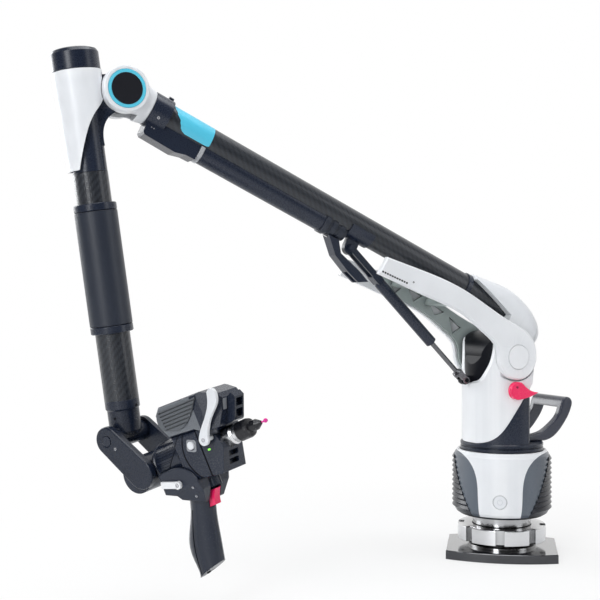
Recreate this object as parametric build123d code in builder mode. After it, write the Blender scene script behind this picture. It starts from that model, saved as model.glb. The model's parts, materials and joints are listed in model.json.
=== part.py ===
from build123d import *
import os
from math import cos, radians, sin

# Portable articulated-arm measuring machine, in millimetres.
# The origin is the centre of the base plate's underside, and +Z is up.
# The arm lies in the XZ plane and reaches to -X, and its near side is -Y.

os.makedirs("parts", exist_ok=True)

# General fits
RUN = 0.4                  # clearance between pieces that move against each other
SLIP = 0.3                 # clearance of a bearing or a hinge pin
WALL = 3.5                 # moulded wall

# Base plate and its tapped holes
PLATE_WIDTH = 150
PLATE_DEPTH = 104          # between the corners
PLATE_BULGE = 14           # rise of the front and rear arcs
PLATE_THICK = 12
PLATE_TURN = -36
BOLT_CIRCLE = 110
BOLT_COUNT = 4
BOLT_HOLE = 6.8
BOLT_DEPTH = 9

# Mount flange and clamp ring
FLANGE_RADIUS = 47
NECK_RADIUS = 40
RING_BOTTOM = 22
RING_TOP = 42
RING_RADIUS = 60.5
RING_LOBES = 8
GROOVE_WIDTH = 12
GROOVE_DEPTH = 8

# Base housing
BASE_TURN = -38
BASE_BOTTOM = 57
BASE_TOP = 146
BASE_RADIUS = 66
PANEL_FOOT = BASE_RADIUS - 40.5        # half width of the funnel panel at its foot
BATTERY_RIB = 2.4
BATTERY_RIBS = 11
TONGUE_WIDTH = 50
TONGUE_LENGTH = 15
TONGUE_HEIGHT = 56
BUTTON_RADIUS = 9
BUTTON_HEIGHT = 82
RIM_CHAMFER = 4.5          # of the core's top and foot

# Column
SPINDLE_RADIUS = 26
BEARING_WIDTH = 12
COLLAR_RADIUS = BASE_RADIUS - 9
COLLAR_TOP = 158
COLUMN_RADIUS = 55
RIM_HEIGHT = 239           # front rim of the white shell
HEAD_FLOOR = 240           # where the round column ends and the two cheeks begin
HUB_RADIUS = 34
HUB_HALF = 37              # half width of the hub between the cheeks
CHEEK = 6.4
REAR_FLAT = 11             # flat back of the column
HANDLE_HALF = 35
HANDLE_LEG = 9
HANDLE_BAR = 203           # underside of the crossbar
LOCK_AT = (-17.5, 231.5)   # lock lever's pivot, seen from the side
LOCK_BOSS = 12
LOCK_STUB = 50             # inner end of the pivot, from the arm's plane
LOCK_PIN = 4

# Shoulder and upper arm
SHOULDER = Vector(-13.4, 0, 276.5)
AXLE_RADIUS = 12
FORK_ROUND = 31            # round end of the fork about the shoulder
CASTING_THICK = 5
COVER_THICK = 7.8
CAP_RADIUS = 16.3
BEARING_RADIUS = 19
CASTING_END = -166         # where the casting stops short of the covers' tips
CRADLES = (168, 108)       # cross ribs of the casting, from the foot of the lift towards the elbow
HOOD_HALF = 28             # half width of the rear cap
TUBE_RISE = 25.2           # slope of the upper arm, degrees
TUBE_LIFT = 64             # tube axis above the shoulder axis
ARM_LENGTH = 620           # elbow to the foot of that lift
TUBE_RADIUS = 18
TUBE_WALL = 2.5
TUBE_START = 52
TUBE_END = ARM_LENGTH - 16
UNDER_RADIUS = 14.5        # cable channel below the tube
UNDER_DROP = 16
CLIP_START = ARM_LENGTH - 91
CLIP_WIDTH = 7
BLOCK_END = 112
BOOT_START = ARM_LENGTH - 320
BOOT_END = BOOT_START + 36
BOOT_RIBS = 3

# Gas spring
SPRING_TOP = Vector(-241.8, 0, 421.2)
SPRING_FOOT = Vector(-63, 0, 243.5)
ROD_RADIUS = 3.2
CYLINDER_RADIUS = 7.6
CYLINDER_LENGTH = 116
STRAP_LENGTH = 61
STRAP_INNER = 5
STRAP_OUTER = 8
LUG_HALF = 4
SPRING_PIN = 2.6

# Elbow and forearm head
ELBOW_RADIUS = 27.5
ELBOW_HALF = 28
KNUCKLE_HALF = 13.4
KNUCKLE_RADIUS = 23
ELBOW_PIN = 8
NECK_START = 26
NECK_END = 38
COLLAR_WALL = 4
COLLAR_END = 62
BLOCK_HALF = 13
SPINDLE_CORE = 14
ELBOW_SPINDLE = 96
BADGE_RADIUS = 22.5
BADGE_DISC = 18.6
BADGE_DEPTH = 2
FOREARM_TILT = 8.04
FOREARM_OFFSET = 49.2      # forearm axis from the elbow axis
CAP_RADIUS_TOP = 28
CAP_TOP = -52
CAP_BOTTOM = -26
CONE_TOP_RADIUS = 29
CONE_FOOT_RADIUS = 25.4
CONE_FOOT = 88
INNER_RADIUS = 20

# Forearm, from the level of the elbow down
FOREARM_RADIUS = 20.3
SPIGOT_RADIUS = 15
SLEEVE_TOP = 136.5
SLEEVE_BOTTOM = 269.5
SLEEVE_RADIUS = 25
COLLAR_HEIGHT = 9
FERRULE_LENGTH = 43.3
KNUCKLE_NECK = 18.8
WRIST_REACH = 401.3
FERRULE_TOP = WRIST_REACH - FERRULE_LENGTH
WRIST_ROLL = 58.35         # wrist axis about the forearm, from +Y
CROSS_RADIUS = 12

# Wrist yoke and probe head, measured along and above the probe axis
DRUM_FORWARD = 32.5
DRUM_DROP = 42
PROBE_RISE = 18.4
YOKE_HALF = 27
YOKE_THICK = 8
YOKE_EYE = 16.5
DRUM_RADIUS = 21
BARREL_RADIUS = 24
BARREL_START = 22.5
BARREL_END = 66
HEAD_HALF = 26
HOLDER_RADIUS = 11.5
TIP_REACH = 182.3
BALL_RADIUS = 2.5
YOKE_TOE = 30              # how far the yoke plates reach along the probe axis
SPIGOT = 12                # head spindle in the yoke's drum
PIN_RADIUS = 6
PIN_DEPTH = 9
BARREL_GROOVES = 5
HOLDER_START = 108
HOLDER_END = 137
PANEL_GROOVES = 6
FACE_FOOT = (136, 13)      # slanted front of the scanner
FACE_MID = (144, 27)
FACE_TOP = (150, 40.5)
CAMERA_HALF = 8.5
BUTTON_AT = (92, 6.7)
HEAD_BUTTON = 4.6
LEVER_AT = (116.8, 6.3)
LEVER_PIN = 3
LEVER_STEM = 9
TRIGGER_TOP = -47
TRIGGER_LOW = -64
TRIGGER_PULL = 4
SADDLE_START = 32
SADDLE_HALF = 28.5
GRIP_LEVER_AT = (57, -28)
GRIP_LEVER_PIN = 2.5
GRIP_SLOT = 9.6            # half width of the gap for the knob
GRIP_SECTIONS = (          # along and above the probe axis, half depth, half width
    (60, -40, 15, 14.5), (57, -50, 16, 14.5), (52, -62, 16.5, 14), (41, -84, 20, 14.5), (34, -108, 20.5, 15),
    (28, -140, 20, 15.5),
)
KNOB_AT = (81, -31)
KNOB_RADIUS = 8.6
KNOB_HEIGHT = 12
KNOB_FLUTES = 10
KNOB_STEM = 4

# Frames
ARM = Plane.XZ
tube_dir = Vector(cos(radians(TUBE_RISE)), 0, -sin(radians(TUBE_RISE)))
tube_up = Vector(sin(radians(TUBE_RISE)), 0, cos(radians(TUBE_RISE)))
ELBOW = SHOULDER + tube_up * TUBE_LIFT - tube_dir * ARM_LENGTH
TUBE = Plane(origin=ELBOW, x_dir=(0, 1, 0), z_dir=tube_dir)
fore_dir = Vector(sin(radians(FOREARM_TILT)), 0, -cos(radians(FOREARM_TILT)))
fore_in = Vector(cos(radians(FOREARM_TILT)), 0, sin(radians(FOREARM_TILT)))
TUBE_SIDE = Plane(origin=ELBOW, x_dir=tube_dir, z_dir=(0, -1, 0))
FOREARM = Plane(origin=ELBOW - fore_in * FOREARM_OFFSET, x_dir=(0, 1, 0), z_dir=fore_dir)
FORE_SIDE = Plane(origin=FOREARM.origin, x_dir=fore_dir, z_dir=(0, -1, 0))
roll = radians(WRIST_ROLL)
wrist_axis = Vector(0, 1, 0) * cos(roll) + fore_in * sin(roll)
wrist_ahead = fore_in * cos(roll) - Vector(0, 1, 0) * sin(roll)
WRIST_CENTRE = FOREARM.origin + fore_dir * WRIST_REACH
rise = radians(PROBE_RISE)
probe_dir = wrist_ahead * cos(rise) - fore_dir * sin(rise)
probe_up = -(wrist_ahead * sin(rise) + fore_dir * cos(rise))
DRUM_CENTRE = WRIST_CENTRE + wrist_ahead * DRUM_FORWARD + fore_dir * DRUM_DROP
WRIST = Plane(origin=WRIST_CENTRE, x_dir=fore_dir, z_dir=wrist_axis)
HEAD = Plane(origin=DRUM_CENTRE, x_dir=probe_dir, z_dir=-wrist_axis)
HEAD_PLAN = Plane(origin=DRUM_CENTRE, x_dir=probe_dir, z_dir=probe_up)
PROBE = Plane(origin=DRUM_CENTRE, x_dir=-wrist_axis, z_dir=probe_dir)
KNOB = Plane(origin=HEAD.from_local_coords((*KNOB_AT, 0)), x_dir=probe_dir, z_dir=probe_up)
turn = radians(BASE_TURN)
BASE_FRONT = Plane(origin=(0, 0, 0), x_dir=(cos(turn), sin(turn), 0), z_dir=(sin(turn), -cos(turn), 0))
PIVOT = (SHOULDER.X, SHOULDER.Z)


def axis_plane(frame):
    """Plane that holds a frame's axis: local x is the radius, local y the distance along the axis."""
    return Plane(origin=frame.origin, x_dir=frame.x_dir, z_dir=-frame.y_dir)


def spin(frame, *profile):
    """Spin (radius, distance) corners about the frame's axis, into the part that is being built."""
    with BuildSketch(axis_plane(frame)) as section:
        with BuildLine():
            Polyline(*profile, close=True)
        make_face()
    revolve(section.sketch, axis=Axis(frame.origin, frame.z_dir))


def spin_tube(frame, outer, inner, start, end):
    """A plain tube about the frame's axis."""
    spin(frame, (inner, start), (outer, start), (outer, end), (inner, end))


def span(start, end):
    """Direction from one point to another, and the distance."""
    step = end - start
    return step.normalized(), step.length


# Base plate: two straight sides, arcs at the front and rear, tapped from below
PLATE = Plane.XY.rotated((0, 0, PLATE_TURN))
half_w, half_d = PLATE_WIDTH / 2, PLATE_DEPTH / 2
with BuildPart() as base_plate:
    with BuildSketch(PLATE):
        with BuildLine():
            front = ThreePointArc((-half_w, -half_d), (0, -half_d - PLATE_BULGE), (half_w, -half_d))
            Line(front @ 1, (half_w, half_d))
            rear = ThreePointArc((half_w, half_d), (0, half_d + PLATE_BULGE), (-half_w, half_d))
            Line(rear @ 1, front @ 0)
        make_face()
    extrude(amount=PLATE_THICK)
    chamfer(base_plate.faces().sort_by(Axis.Z)[-1].edges(), 0.8)
    with BuildSketch(PLATE):
        with PolarLocations(BOLT_CIRCLE / 2, BOLT_COUNT, 45):
            Circle(BOLT_HOLE / 2)
    extrude(amount=BOLT_DEPTH, mode=Mode.SUBTRACT)

# Mount flange: one turned steel piece from the plate up into the base housing
with BuildPart() as mount_flange:
    spin(Plane.XY,
         (0, PLATE_THICK), (FLANGE_RADIUS, PLATE_THICK), (FLANGE_RADIUS, PLATE_THICK + 3),
         (NECK_RADIUS, RING_BOTTOM - RUN), (NECK_RADIUS - 2, RING_BOTTOM + 2),
         (NECK_RADIUS - 2, RING_TOP - 2), (NECK_RADIUS, RING_TOP + 1), (NECK_RADIUS, BASE_BOTTOM),
         (0, BASE_BOTTOM))

# Clamp ring: broad lobes with grooves between them for a spanner
with BuildPart() as ring_nut:
    with BuildSketch(Plane.XY.offset(RING_BOTTOM)):
        Circle(RING_RADIUS)
        Circle(NECK_RADIUS + RUN, mode=Mode.SUBTRACT)
        with PolarLocations(RING_RADIUS, RING_LOBES, BASE_TURN - 90):
            Rectangle(2 * GROOVE_DEPTH, GROOVE_WIDTH, mode=Mode.SUBTRACT)
    extrude(amount=RING_TOP - RING_BOTTOM)
    chamfer(ring_nut.edges().group_by(Axis.Z)[-1], 0.8)

# Base core: holds the swivel bearings, with a pocket for each battery and one behind the button
CORE_RADIUS = BASE_RADIUS - WALL
BORE = NECK_RADIUS
SPINDLE_END = BASE_BOTTOM + 33
POCKET_Z = (BASE_BOTTOM + BASE_TOP) / 2
with BuildPart() as base_core:
    spin(Plane.XY,
         (0, BASE_BOTTOM), (CORE_RADIUS - RIM_CHAMFER, BASE_BOTTOM), (CORE_RADIUS, BASE_BOTTOM + 3),
         (CORE_RADIUS, BASE_TOP - RIM_CHAMFER), (CORE_RADIUS - RIM_CHAMFER, BASE_TOP), (BORE, BASE_TOP),
         (BORE, SPINDLE_END - 4), (0, SPINDLE_END - 4))
    with BuildSketch(Plane(origin=(0, 0, POCKET_Z), x_dir=BASE_FRONT.x_dir, z_dir=(0, 0, 1))):
        for side in (-1, 1):
            with Locations((side * (CORE_RADIUS - TONGUE_LENGTH / 2 + 1), 0)):
                Rectangle(TONGUE_LENGTH + 2 + 2 * RUN, TONGUE_WIDTH + 2 * RUN)
    extrude(amount=TONGUE_HEIGHT / 2 + RUN, both=True, mode=Mode.SUBTRACT)
    with BuildSketch(BASE_FRONT.offset(CORE_RADIUS - 5)):
        with Locations((0, BUTTON_HEIGHT)):
            Circle(BUTTON_RADIUS + RUN)
    extrude(amount=10, mode=Mode.SUBTRACT)

with BuildPart() as swivel_bearings:
    for start in (SPINDLE_END + 2, BASE_TOP - 6 - BEARING_WIDTH):
        spin_tube(Plane.XY, BORE, SPINDLE_RADIUS + SLIP, start, start + BEARING_WIDTH)

# Outer wall of the base: the panels, cheeks and batteries are all cut from this turned section
PANEL_WALL = (
    (CORE_RADIUS, BASE_BOTTOM + 3), (BASE_RADIUS, BASE_BOTTOM + 7), (BASE_RADIUS, BASE_TOP - 6.5),
    (BASE_RADIUS - 5, BASE_TOP), (CORE_RADIUS - RIM_CHAMFER, BASE_TOP), (CORE_RADIUS, BASE_TOP - RIM_CHAMFER),
)


def funnel_outline():
    """Edge of the white panel seen from the front: narrow at its foot and spread right across at its top."""
    reach, foot, top = BASE_RADIUS + 2, BASE_BOTTOM - 2, BASE_TOP + 4
    left = Spline((-PANEL_FOOT, foot), (-PANEL_FOOT - 4, 85), (-PANEL_FOOT - 10, 124),
                  (-PANEL_FOOT - 22, 139.5), (-reach, BASE_TOP - 2.5))
    Polyline(left @ 1, (-reach, top), (reach, top), (reach, BASE_TOP - 2.5))
    right = Spline((reach, BASE_TOP - 2.5), (PANEL_FOOT + 22, 139.5), (PANEL_FOOT + 10, 124),
                   (PANEL_FOOT + 4, 85), (PANEL_FOOT, foot))
    Line(right @ 1, left @ 0)


def battery_edge(side, gap):
    """Outline of one side's battery bay seen from the front, drawn in by a gap."""
    top = Spline((side * (BASE_RADIUS - 1 + gap), BASE_TOP - 2), (side * (BASE_RADIUS - 8.5 + gap), 107),
                 (side * (BASE_RADIUS - 32 + gap), BASE_BOTTOM - 2))
    outer = side * (BASE_RADIUS + 8)
    Polyline(top @ 1, (outer, BASE_BOTTOM - 2), (outer, BASE_TOP - 2), top @ 0)


def base_panel(facing):
    """A white funnel panel on the front (1) or the rear (-1) of the base."""
    with BuildPart() as panel:
        spin(Plane.XY, *PANEL_WALL)
        with BuildSketch(BASE_FRONT):
            with BuildLine():
                funnel_outline()
            make_face()
        extrude(amount=facing * 2 * BASE_RADIUS, mode=Mode.INTERSECT)
    return panel


base_rear_panel = base_panel(-1)
with BuildPart() as base_front_panel:
    add(base_panel(1).part)
    with BuildSketch(BASE_FRONT):
        with Locations((0, BUTTON_HEIGHT)):
            Circle(BUTTON_RADIUS + RUN)
    extrude(amount=2 * BASE_RADIUS, mode=Mode.SUBTRACT)

with BuildPart() as base_cheeks:
    spin(Plane.XY, *PANEL_WALL)
    with BuildSketch(BASE_FRONT):
        with BuildLine():
            funnel_outline()
        make_face()
    extrude(amount=2 * BASE_RADIUS, both=True, mode=Mode.SUBTRACT)
    for side in (-1, 1):
        with BuildSketch(BASE_FRONT):
            with BuildLine():
                battery_edge(side, 0)
            make_face()
        extrude(amount=2 * BASE_RADIUS, both=True, mode=Mode.SUBTRACT)


def battery(side):
    """A battery pack: a ribbed outer wall with a tongue that plugs into the core."""
    ribs = BATTERY_RIBS
    low, high = BASE_BOTTOM + 8, BASE_TOP - 7.5
    pitch = (high - low) / ribs
    outer = [(BASE_RADIUS - 0.5, low)]
    for n in range(ribs):
        outer += [(BASE_RADIUS + BATTERY_RIB, low + (n + 0.4) * pitch), (BASE_RADIUS, low + (n + 1) * pitch)]
    with BuildPart() as pack:
        spin(Plane.XY, (CORE_RADIUS + RUN, low - 4), *outer, (CORE_RADIUS + RUN, high + 3))
        with BuildSketch(Plane(origin=(0, 0, POCKET_Z), x_dir=BASE_FRONT.x_dir, z_dir=(0, 0, 1))):
            Circle(CORE_RADIUS + 1)
            with Locations((side * (CORE_RADIUS - TONGUE_LENGTH / 2 + 1), 0)):
                Rectangle(TONGUE_LENGTH + 2, TONGUE_WIDTH, mode=Mode.INTERSECT)
        extrude(amount=TONGUE_HEIGHT / 2, both=True)
        with BuildSketch(BASE_FRONT):
            with BuildLine():
                battery_edge(side, RUN)
            make_face()
        extrude(amount=2 * BASE_RADIUS, both=True, mode=Mode.INTERSECT)
    return pack


left_battery = battery(-1)
right_battery = battery(1)

with BuildPart() as power_button:
    spin_tube(Plane.XY, BASE_RADIUS, CORE_RADIUS + 0.7, BASE_BOTTOM, BASE_TOP)
    with BuildSketch(BASE_FRONT):
        with Locations((0, BUTTON_HEIGHT)):
            Circle(BUTTON_RADIUS)
    extrude(amount=2 * BASE_RADIUS, mode=Mode.INTERSECT)

# Swivel collar with its spindle
with BuildPart() as swivel_collar:
    spin(Plane.XY,
         (0, SPINDLE_END), (SPINDLE_RADIUS, SPINDLE_END), (SPINDLE_RADIUS, BASE_TOP + 0.5),
         (COLLAR_RADIUS, BASE_TOP + 0.5), (COLLAR_RADIUS, BASE_TOP + 4.5),
         (COLLAR_RADIUS - 1.5, BASE_TOP + 5.2), (COLLAR_RADIUS - 1.5, BASE_TOP + 6.2),
         (COLLAR_RADIUS, BASE_TOP + 7), (COLLAR_RADIUS, COLLAR_TOP - 2), (COLUMN_RADIUS, COLLAR_TOP),
         (0, COLLAR_TOP))

# Column core: a round body with a hub head, a bore for the axle and a lug for the gas spring
COLUMN_INNER = COLUMN_RADIUS - 4
spring_dir, spring_length = span(SPRING_FOOT, SPRING_TOP)
with BuildPart() as column_core:
    with BuildSketch(Plane.XY.offset(COLLAR_TOP)):
        Circle(COLUMN_INNER)
    extrude(amount=SHOULDER.Z + HUB_RADIUS - COLLAR_TOP)
    with BuildSketch(ARM):
        with BuildLine():
            Polyline((-COLUMN_RADIUS, COLLAR_TOP), (REAR_FLAT - WALL, COLLAR_TOP),
                     (REAR_FLAT - WALL, HEAD_FLOOR), PIVOT, (SHOULDER.X - HUB_RADIUS, SHOULDER.Z),
                     (-COLUMN_RADIUS, SHOULDER.Z - 24), close=True)
        make_face()
        with Locations(PIVOT):
            Circle(HUB_RADIUS)
    extrude(amount=2 * COLUMN_RADIUS, both=True, mode=Mode.INTERSECT)
    with BuildSketch(Plane.XY.offset(HEAD_FLOOR)):
        for side in (-1, 1):
            with Locations((0, side * (HUB_HALF + COLUMN_RADIUS))):
                Rectangle(4 * COLUMN_RADIUS, 2 * COLUMN_RADIUS)
    extrude(amount=100, mode=Mode.SUBTRACT)
    with BuildSketch(ARM):
        with Locations(PIVOT):
            Circle(AXLE_RADIUS)
    extrude(amount=2 * COLUMN_RADIUS, both=True, mode=Mode.SUBTRACT)
    with BuildSketch(ARM):
        with Locations((SPRING_FOOT.X, SPRING_FOOT.Z)):
            Circle(6)
        with Locations(((SPRING_FOOT.X - 45) / 2, SPRING_FOOT.Z + 1.5)):
            Rectangle(-45 - SPRING_FOOT.X, 9)
    extrude(amount=LUG_HALF, both=True)
    with BuildSketch(ARM):
        with Locations((SPRING_FOOT.X, SPRING_FOOT.Z)):
            Circle(SPRING_PIN)
    extrude(amount=LUG_HALF + 4.5, both=True)


def rear_edge():
    """S-curve between the white shell and the black rear cover, seen from the side."""
    return Spline((-COLUMN_RADIUS + 2, COLLAR_TOP), (-40.6, 164.7), (-29.7, 177.6), (-18.6, 196.2),
                  (-5.6, 216.5), (REAR_FLAT + 1, HEAD_FLOOR))


# White column shell: a round wall with an open front, and two cheeks that carry the axle
CHEEK_FACE = HUB_HALF + CHEEK
with BuildPart() as column_shell:
    with BuildSketch(Plane.XY.offset(COLLAR_TOP)):
        Circle(COLUMN_RADIUS)
    extrude(amount=SHOULDER.Z + HUB_RADIUS - COLLAR_TOP)
    with BuildSketch(ARM):
        with BuildLine():
            rear = rear_edge()
            back = Line(rear @ 1, (SHOULDER.X + FORK_ROUND, SHOULDER.Z))
            crown = ThreePointArc(back @ 1, (SHOULDER.X, SHOULDER.Z + FORK_ROUND),
                                  (SHOULDER.X - 25, SHOULDER.Z + 18))
            rim = Spline(crown @ 1, (-42.4, 265.4), (-46.2, 252.7), (-51, 241.5),
                         (-COLUMN_RADIUS - 2, RIM_HEIGHT))
            Polyline(rim @ 1, (-COLUMN_RADIUS - 2, COLLAR_TOP), rear @ 0)
        make_face()
    extrude(amount=2 * COLUMN_RADIUS, both=True, mode=Mode.INTERSECT)
    with BuildSketch(Plane.XY.offset(COLLAR_TOP)):
        Circle(COLUMN_INNER)
    extrude(amount=HEAD_FLOOR - COLLAR_TOP, mode=Mode.SUBTRACT)
    with BuildSketch(Plane.XY.offset(HEAD_FLOOR)):
        Circle(COLUMN_INNER)
        with Locations((COLUMN_RADIUS, 0)):
            Rectangle(2 * COLUMN_RADIUS, 2 * COLUMN_RADIUS)
        Rectangle(4 * COLUMN_RADIUS, 2 * HUB_HALF, mode=Mode.INTERSECT)
    extrude(amount=100, mode=Mode.SUBTRACT)
    for side in (-1, 1):
        with BuildSketch(ARM.offset(side * CHEEK_FACE)):
            with Locations(PIVOT):
                Circle(FORK_ROUND + 2)
            with Locations((SHOULDER.X, SHOULDER.Z + 40)):
                Rectangle(3 * COLUMN_RADIUS, 80)
        extrude(amount=side * COLUMN_RADIUS, mode=Mode.SUBTRACT)
    with BuildSketch(ARM):
        with Locations(PIVOT):
            Circle(AXLE_RADIUS)
    extrude(amount=2 * COLUMN_RADIUS, both=True, mode=Mode.SUBTRACT)

with BuildPart() as column_rear_cover:
    with BuildSketch(Plane.XY.offset(COLLAR_TOP)):
        Circle(COLUMN_RADIUS)
        with Locations((REAR_FLAT - 2 * COLUMN_RADIUS, 0)):
            Rectangle(4 * COLUMN_RADIUS, 4 * COLUMN_RADIUS, mode=Mode.INTERSECT)
    extrude(amount=HEAD_FLOOR - COLLAR_TOP)
    fillet(column_rear_cover.edges().filter_by(Axis.Z), 9)
    with BuildSketch(Plane.XY.offset(COLLAR_TOP)):
        Circle(COLUMN_INNER)
        with Locations((REAR_FLAT - WALL - 2 * COLUMN_RADIUS, 0)):
            Rectangle(4 * COLUMN_RADIUS, 4 * COLUMN_RADIUS, mode=Mode.INTERSECT)
    extrude(amount=HEAD_FLOOR - COLLAR_TOP, mode=Mode.SUBTRACT)
    with BuildSketch(ARM):
        with BuildLine():
            rear = rear_edge()
            Polyline(rear @ 1, (REAR_FLAT + 1, COLLAR_TOP - 5), (-COLUMN_RADIUS + 2, COLLAR_TOP - 5),
                     rear @ 0)
        make_face()
    extrude(amount=2 * COLUMN_RADIUS, both=True, mode=Mode.INTERSECT)

# Carry handle: a bail with two legs that lie on the collar behind the column and rise to a crossbar
with BuildPart() as carry_handle:
    with BuildSketch(ARM):
        with BuildLine():
            outer = Spline((48, COLLAR_TOP), (68, 166), (84, 183), (96, 206), tangents=((1, 0.1), (0.3, 1)))
            tip = TangentArc(outer @ 1, (85.5, 217), tangent=outer % 1)
            inner = Spline(tip @ 1, (74, 197), (62, 183), (45, 172), (20, COLLAR_TOP + 9),
                           tangents=(tip % 1, (-1, -0.1)))
            Polyline(inner @ 1, (20, COLLAR_TOP), outer @ 0)
        make_face()
    extrude(amount=HANDLE_HALF, both=True)
    flanks = carry_handle.faces().sort_by(Axis.Y)
    rims = flanks[0].edges() + flanks[-1].edges()
    fillet(rims.filter_by(GeomType.LINE, reverse=True), 2.4)
    with BuildSketch(ARM):
        with Locations((60, HANDLE_BAR - 50)):
            Rectangle(120, 100)
    extrude(amount=HANDLE_HALF - HANDLE_LEG, both=True, mode=Mode.SUBTRACT)

with BuildPart() as shoulder_axle:
    with BuildSketch(ARM):
        with Locations(PIVOT):
            Circle(AXLE_RADIUS)
    extrude(amount=CHEEK_FACE + CASTING_THICK, both=True)

# Red lock lever: a round boss with a swept tail, on a stub in the column shell
LOCK_BACK = COLUMN_RADIUS + RUN
lock_x, lock_z = LOCK_AT
with BuildPart() as lock_lever:
    with BuildSketch(ARM.offset(LOCK_BACK)):
        with Locations(LOCK_AT):
            Circle(LOCK_BOSS)
        with BuildLine():
            top = Spline((lock_x + 8, lock_z + 8.9), (lock_x + 18, lock_z + 1), (lock_x + 33, lock_z - 3))
            low = Spline(top @ 1, (lock_x + 16, lock_z - 9.5), (lock_x + 2, lock_z - 11.8))
            Line(low @ 1, top @ 0)
        make_face()
    extrude(amount=8)
    fillet(lock_lever.faces().sort_by(Axis.Y)[0].edges(), 1.5)
    with BuildSketch(ARM.offset(LOCK_STUB)):
        with Locations(LOCK_AT):
            Circle(LOCK_PIN)
    extrude(amount=LOCK_BACK - LOCK_STUB + 1)
with column_shell:
    with BuildSketch(ARM):
        with Locations(LOCK_AT):
            Circle(LOCK_PIN + RUN)
    extrude(amount=COLUMN_RADIUS, mode=Mode.SUBTRACT)

# Upper arm: the fork covers and the casting share one side outline
FORK_INNER = CHEEK_FACE + 0.6
COVER_INNER = FORK_INNER + CASTING_THICK


def fork_outline(inset):
    """Side outline of the fork, from its tip to the round end about the shoulder, drawn in by an inset."""
    r = FORK_ROUND - inset
    low = Spline((-229 + inset, 387 + inset), (-153, 357 + inset), (-96 - inset * 0.5, 332 + inset),
                 (-66 + inset * 0.6, 309.5 + inset * 0.6), (SHOULDER.X - r, SHOULDER.Z),
                 tangents=((0.93, -0.36), (0, -1)))
    end = ThreePointArc(low @ 1, (SHOULDER.X, SHOULDER.Z - r), (SHOULDER.X + r, SHOULDER.Z))
    high = Spline(end @ 1, (-24 - inset * 0.6, 324 - inset * 0.6), (-95, 364.5 - inset),
                  (-216 + inset, 408 - inset), tangents=((0, 1), (-0.95, 0.31)))
    Line(high @ 1, low @ 0)


def fork_cover(side):
    """White cover on the near (1) or far (-1) fork arm, with a recess for the pivot cap."""
    with BuildPart() as cover:
        with BuildSketch(ARM.offset(side * COVER_INNER)):
            with BuildLine():
                fork_outline(0)
            make_face()
        extrude(amount=side * COVER_THICK)
        outer = cover.faces().sort_by(Axis.Y)[0 if side > 0 else -1]
        chamfer(outer.edges(), 1.8)
        with BuildSketch(ARM.offset(side * (COVER_INNER + COVER_THICK))):
            with Locations(PIVOT):
                Circle(CAP_RADIUS + 0.5)
        extrude(amount=-side * 3, mode=Mode.SUBTRACT)
    return cover


fork_near_cover = fork_cover(1)
fork_far_cover = fork_cover(-1)

with BuildPart() as pivot_caps:
    for side in (1, -1):
        with BuildSketch(ARM.offset(side * (COVER_INNER + COVER_THICK - 3))):
            with Locations(PIVOT):
                Circle(CAP_RADIUS)
        extrude(amount=side * 3.6)

# Fork casting: two pierced side plates joined by cross ribs that cradle the tube
with BuildPart() as fork_casting:
    for side in (1, -1):
        with BuildSketch(ARM.offset(side * FORK_INNER)):
            with BuildLine():
                fork_outline(3)
            make_face()
            with Locations(PIVOT):
                Circle(BEARING_RADIUS, mode=Mode.SUBTRACT)
            with Locations((CASTING_END - 50, SHOULDER.Z + 100)):
                Rectangle(100, 200, mode=Mode.SUBTRACT)
            for window in (((-154, 379), (-132, 373), (-146, 363)), ((-124, 369), (-102, 359), (-117, 351)),
                           ((-92, 352), (-66, 336), (-82, 332)), ((-58, 330), (-38, 314), (-52, 306))):
                with BuildLine():
                    Polyline(*window, close=True)
                make_face(mode=Mode.SUBTRACT)
        extrude(amount=side * CASTING_THICK)
    for station in CRADLES:
        with BuildSketch(TUBE.offset(ARM_LENGTH - station)):
            with BuildLine():
                Polyline((FORK_INNER + 1, -36), (FORK_INNER + 1, -29), (8, -16), (-8, -16),
                         (-FORK_INNER - 1, -29), (-FORK_INNER - 1, -36), close=True)
            make_face()
            Circle(TUBE_RADIUS, mode=Mode.SUBTRACT)
        extrude(amount=7)

with BuildPart() as main_tube:
    spin_tube(TUBE, TUBE_RADIUS, TUBE_RADIUS - TUBE_WALL, TUBE_START, TUBE_END)
with BuildPart() as tube_clip_ring:
    spin_tube(TUBE, TUBE_RADIUS + 1.6, TUBE_RADIUS, CLIP_START, CLIP_START + CLIP_WIDTH)

# Cable channel under the tube, a crescent that hugs it, and its ribbed boot
with BuildPart() as under_tube:
    with BuildSketch(TUBE.offset(BLOCK_END)):
        with Locations((0, -UNDER_DROP)):
            Circle(UNDER_RADIUS)
            Circle(UNDER_RADIUS - 2, mode=Mode.SUBTRACT)
        Circle(TUBE_RADIUS, mode=Mode.SUBTRACT)
    extrude(amount=BOOT_START - BLOCK_END)

with BuildPart() as under_tube_boot:
    rib_pitch = (BOOT_END - BOOT_START) / BOOT_RIBS
    for n in range(BOOT_RIBS):
        for start, width, radius in ((0, 0.6, UNDER_RADIUS + 1.5 - n), (0.6, 0.4, UNDER_RADIUS - 0.5 - n)):
            with BuildSketch(TUBE.offset(BOOT_START + (n + start) * rib_pitch)):
                with Locations((0, -UNDER_DROP)):
                    Circle(radius)
                Circle(TUBE_RADIUS, mode=Mode.SUBTRACT)
            extrude(amount=width * rib_pitch)

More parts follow.
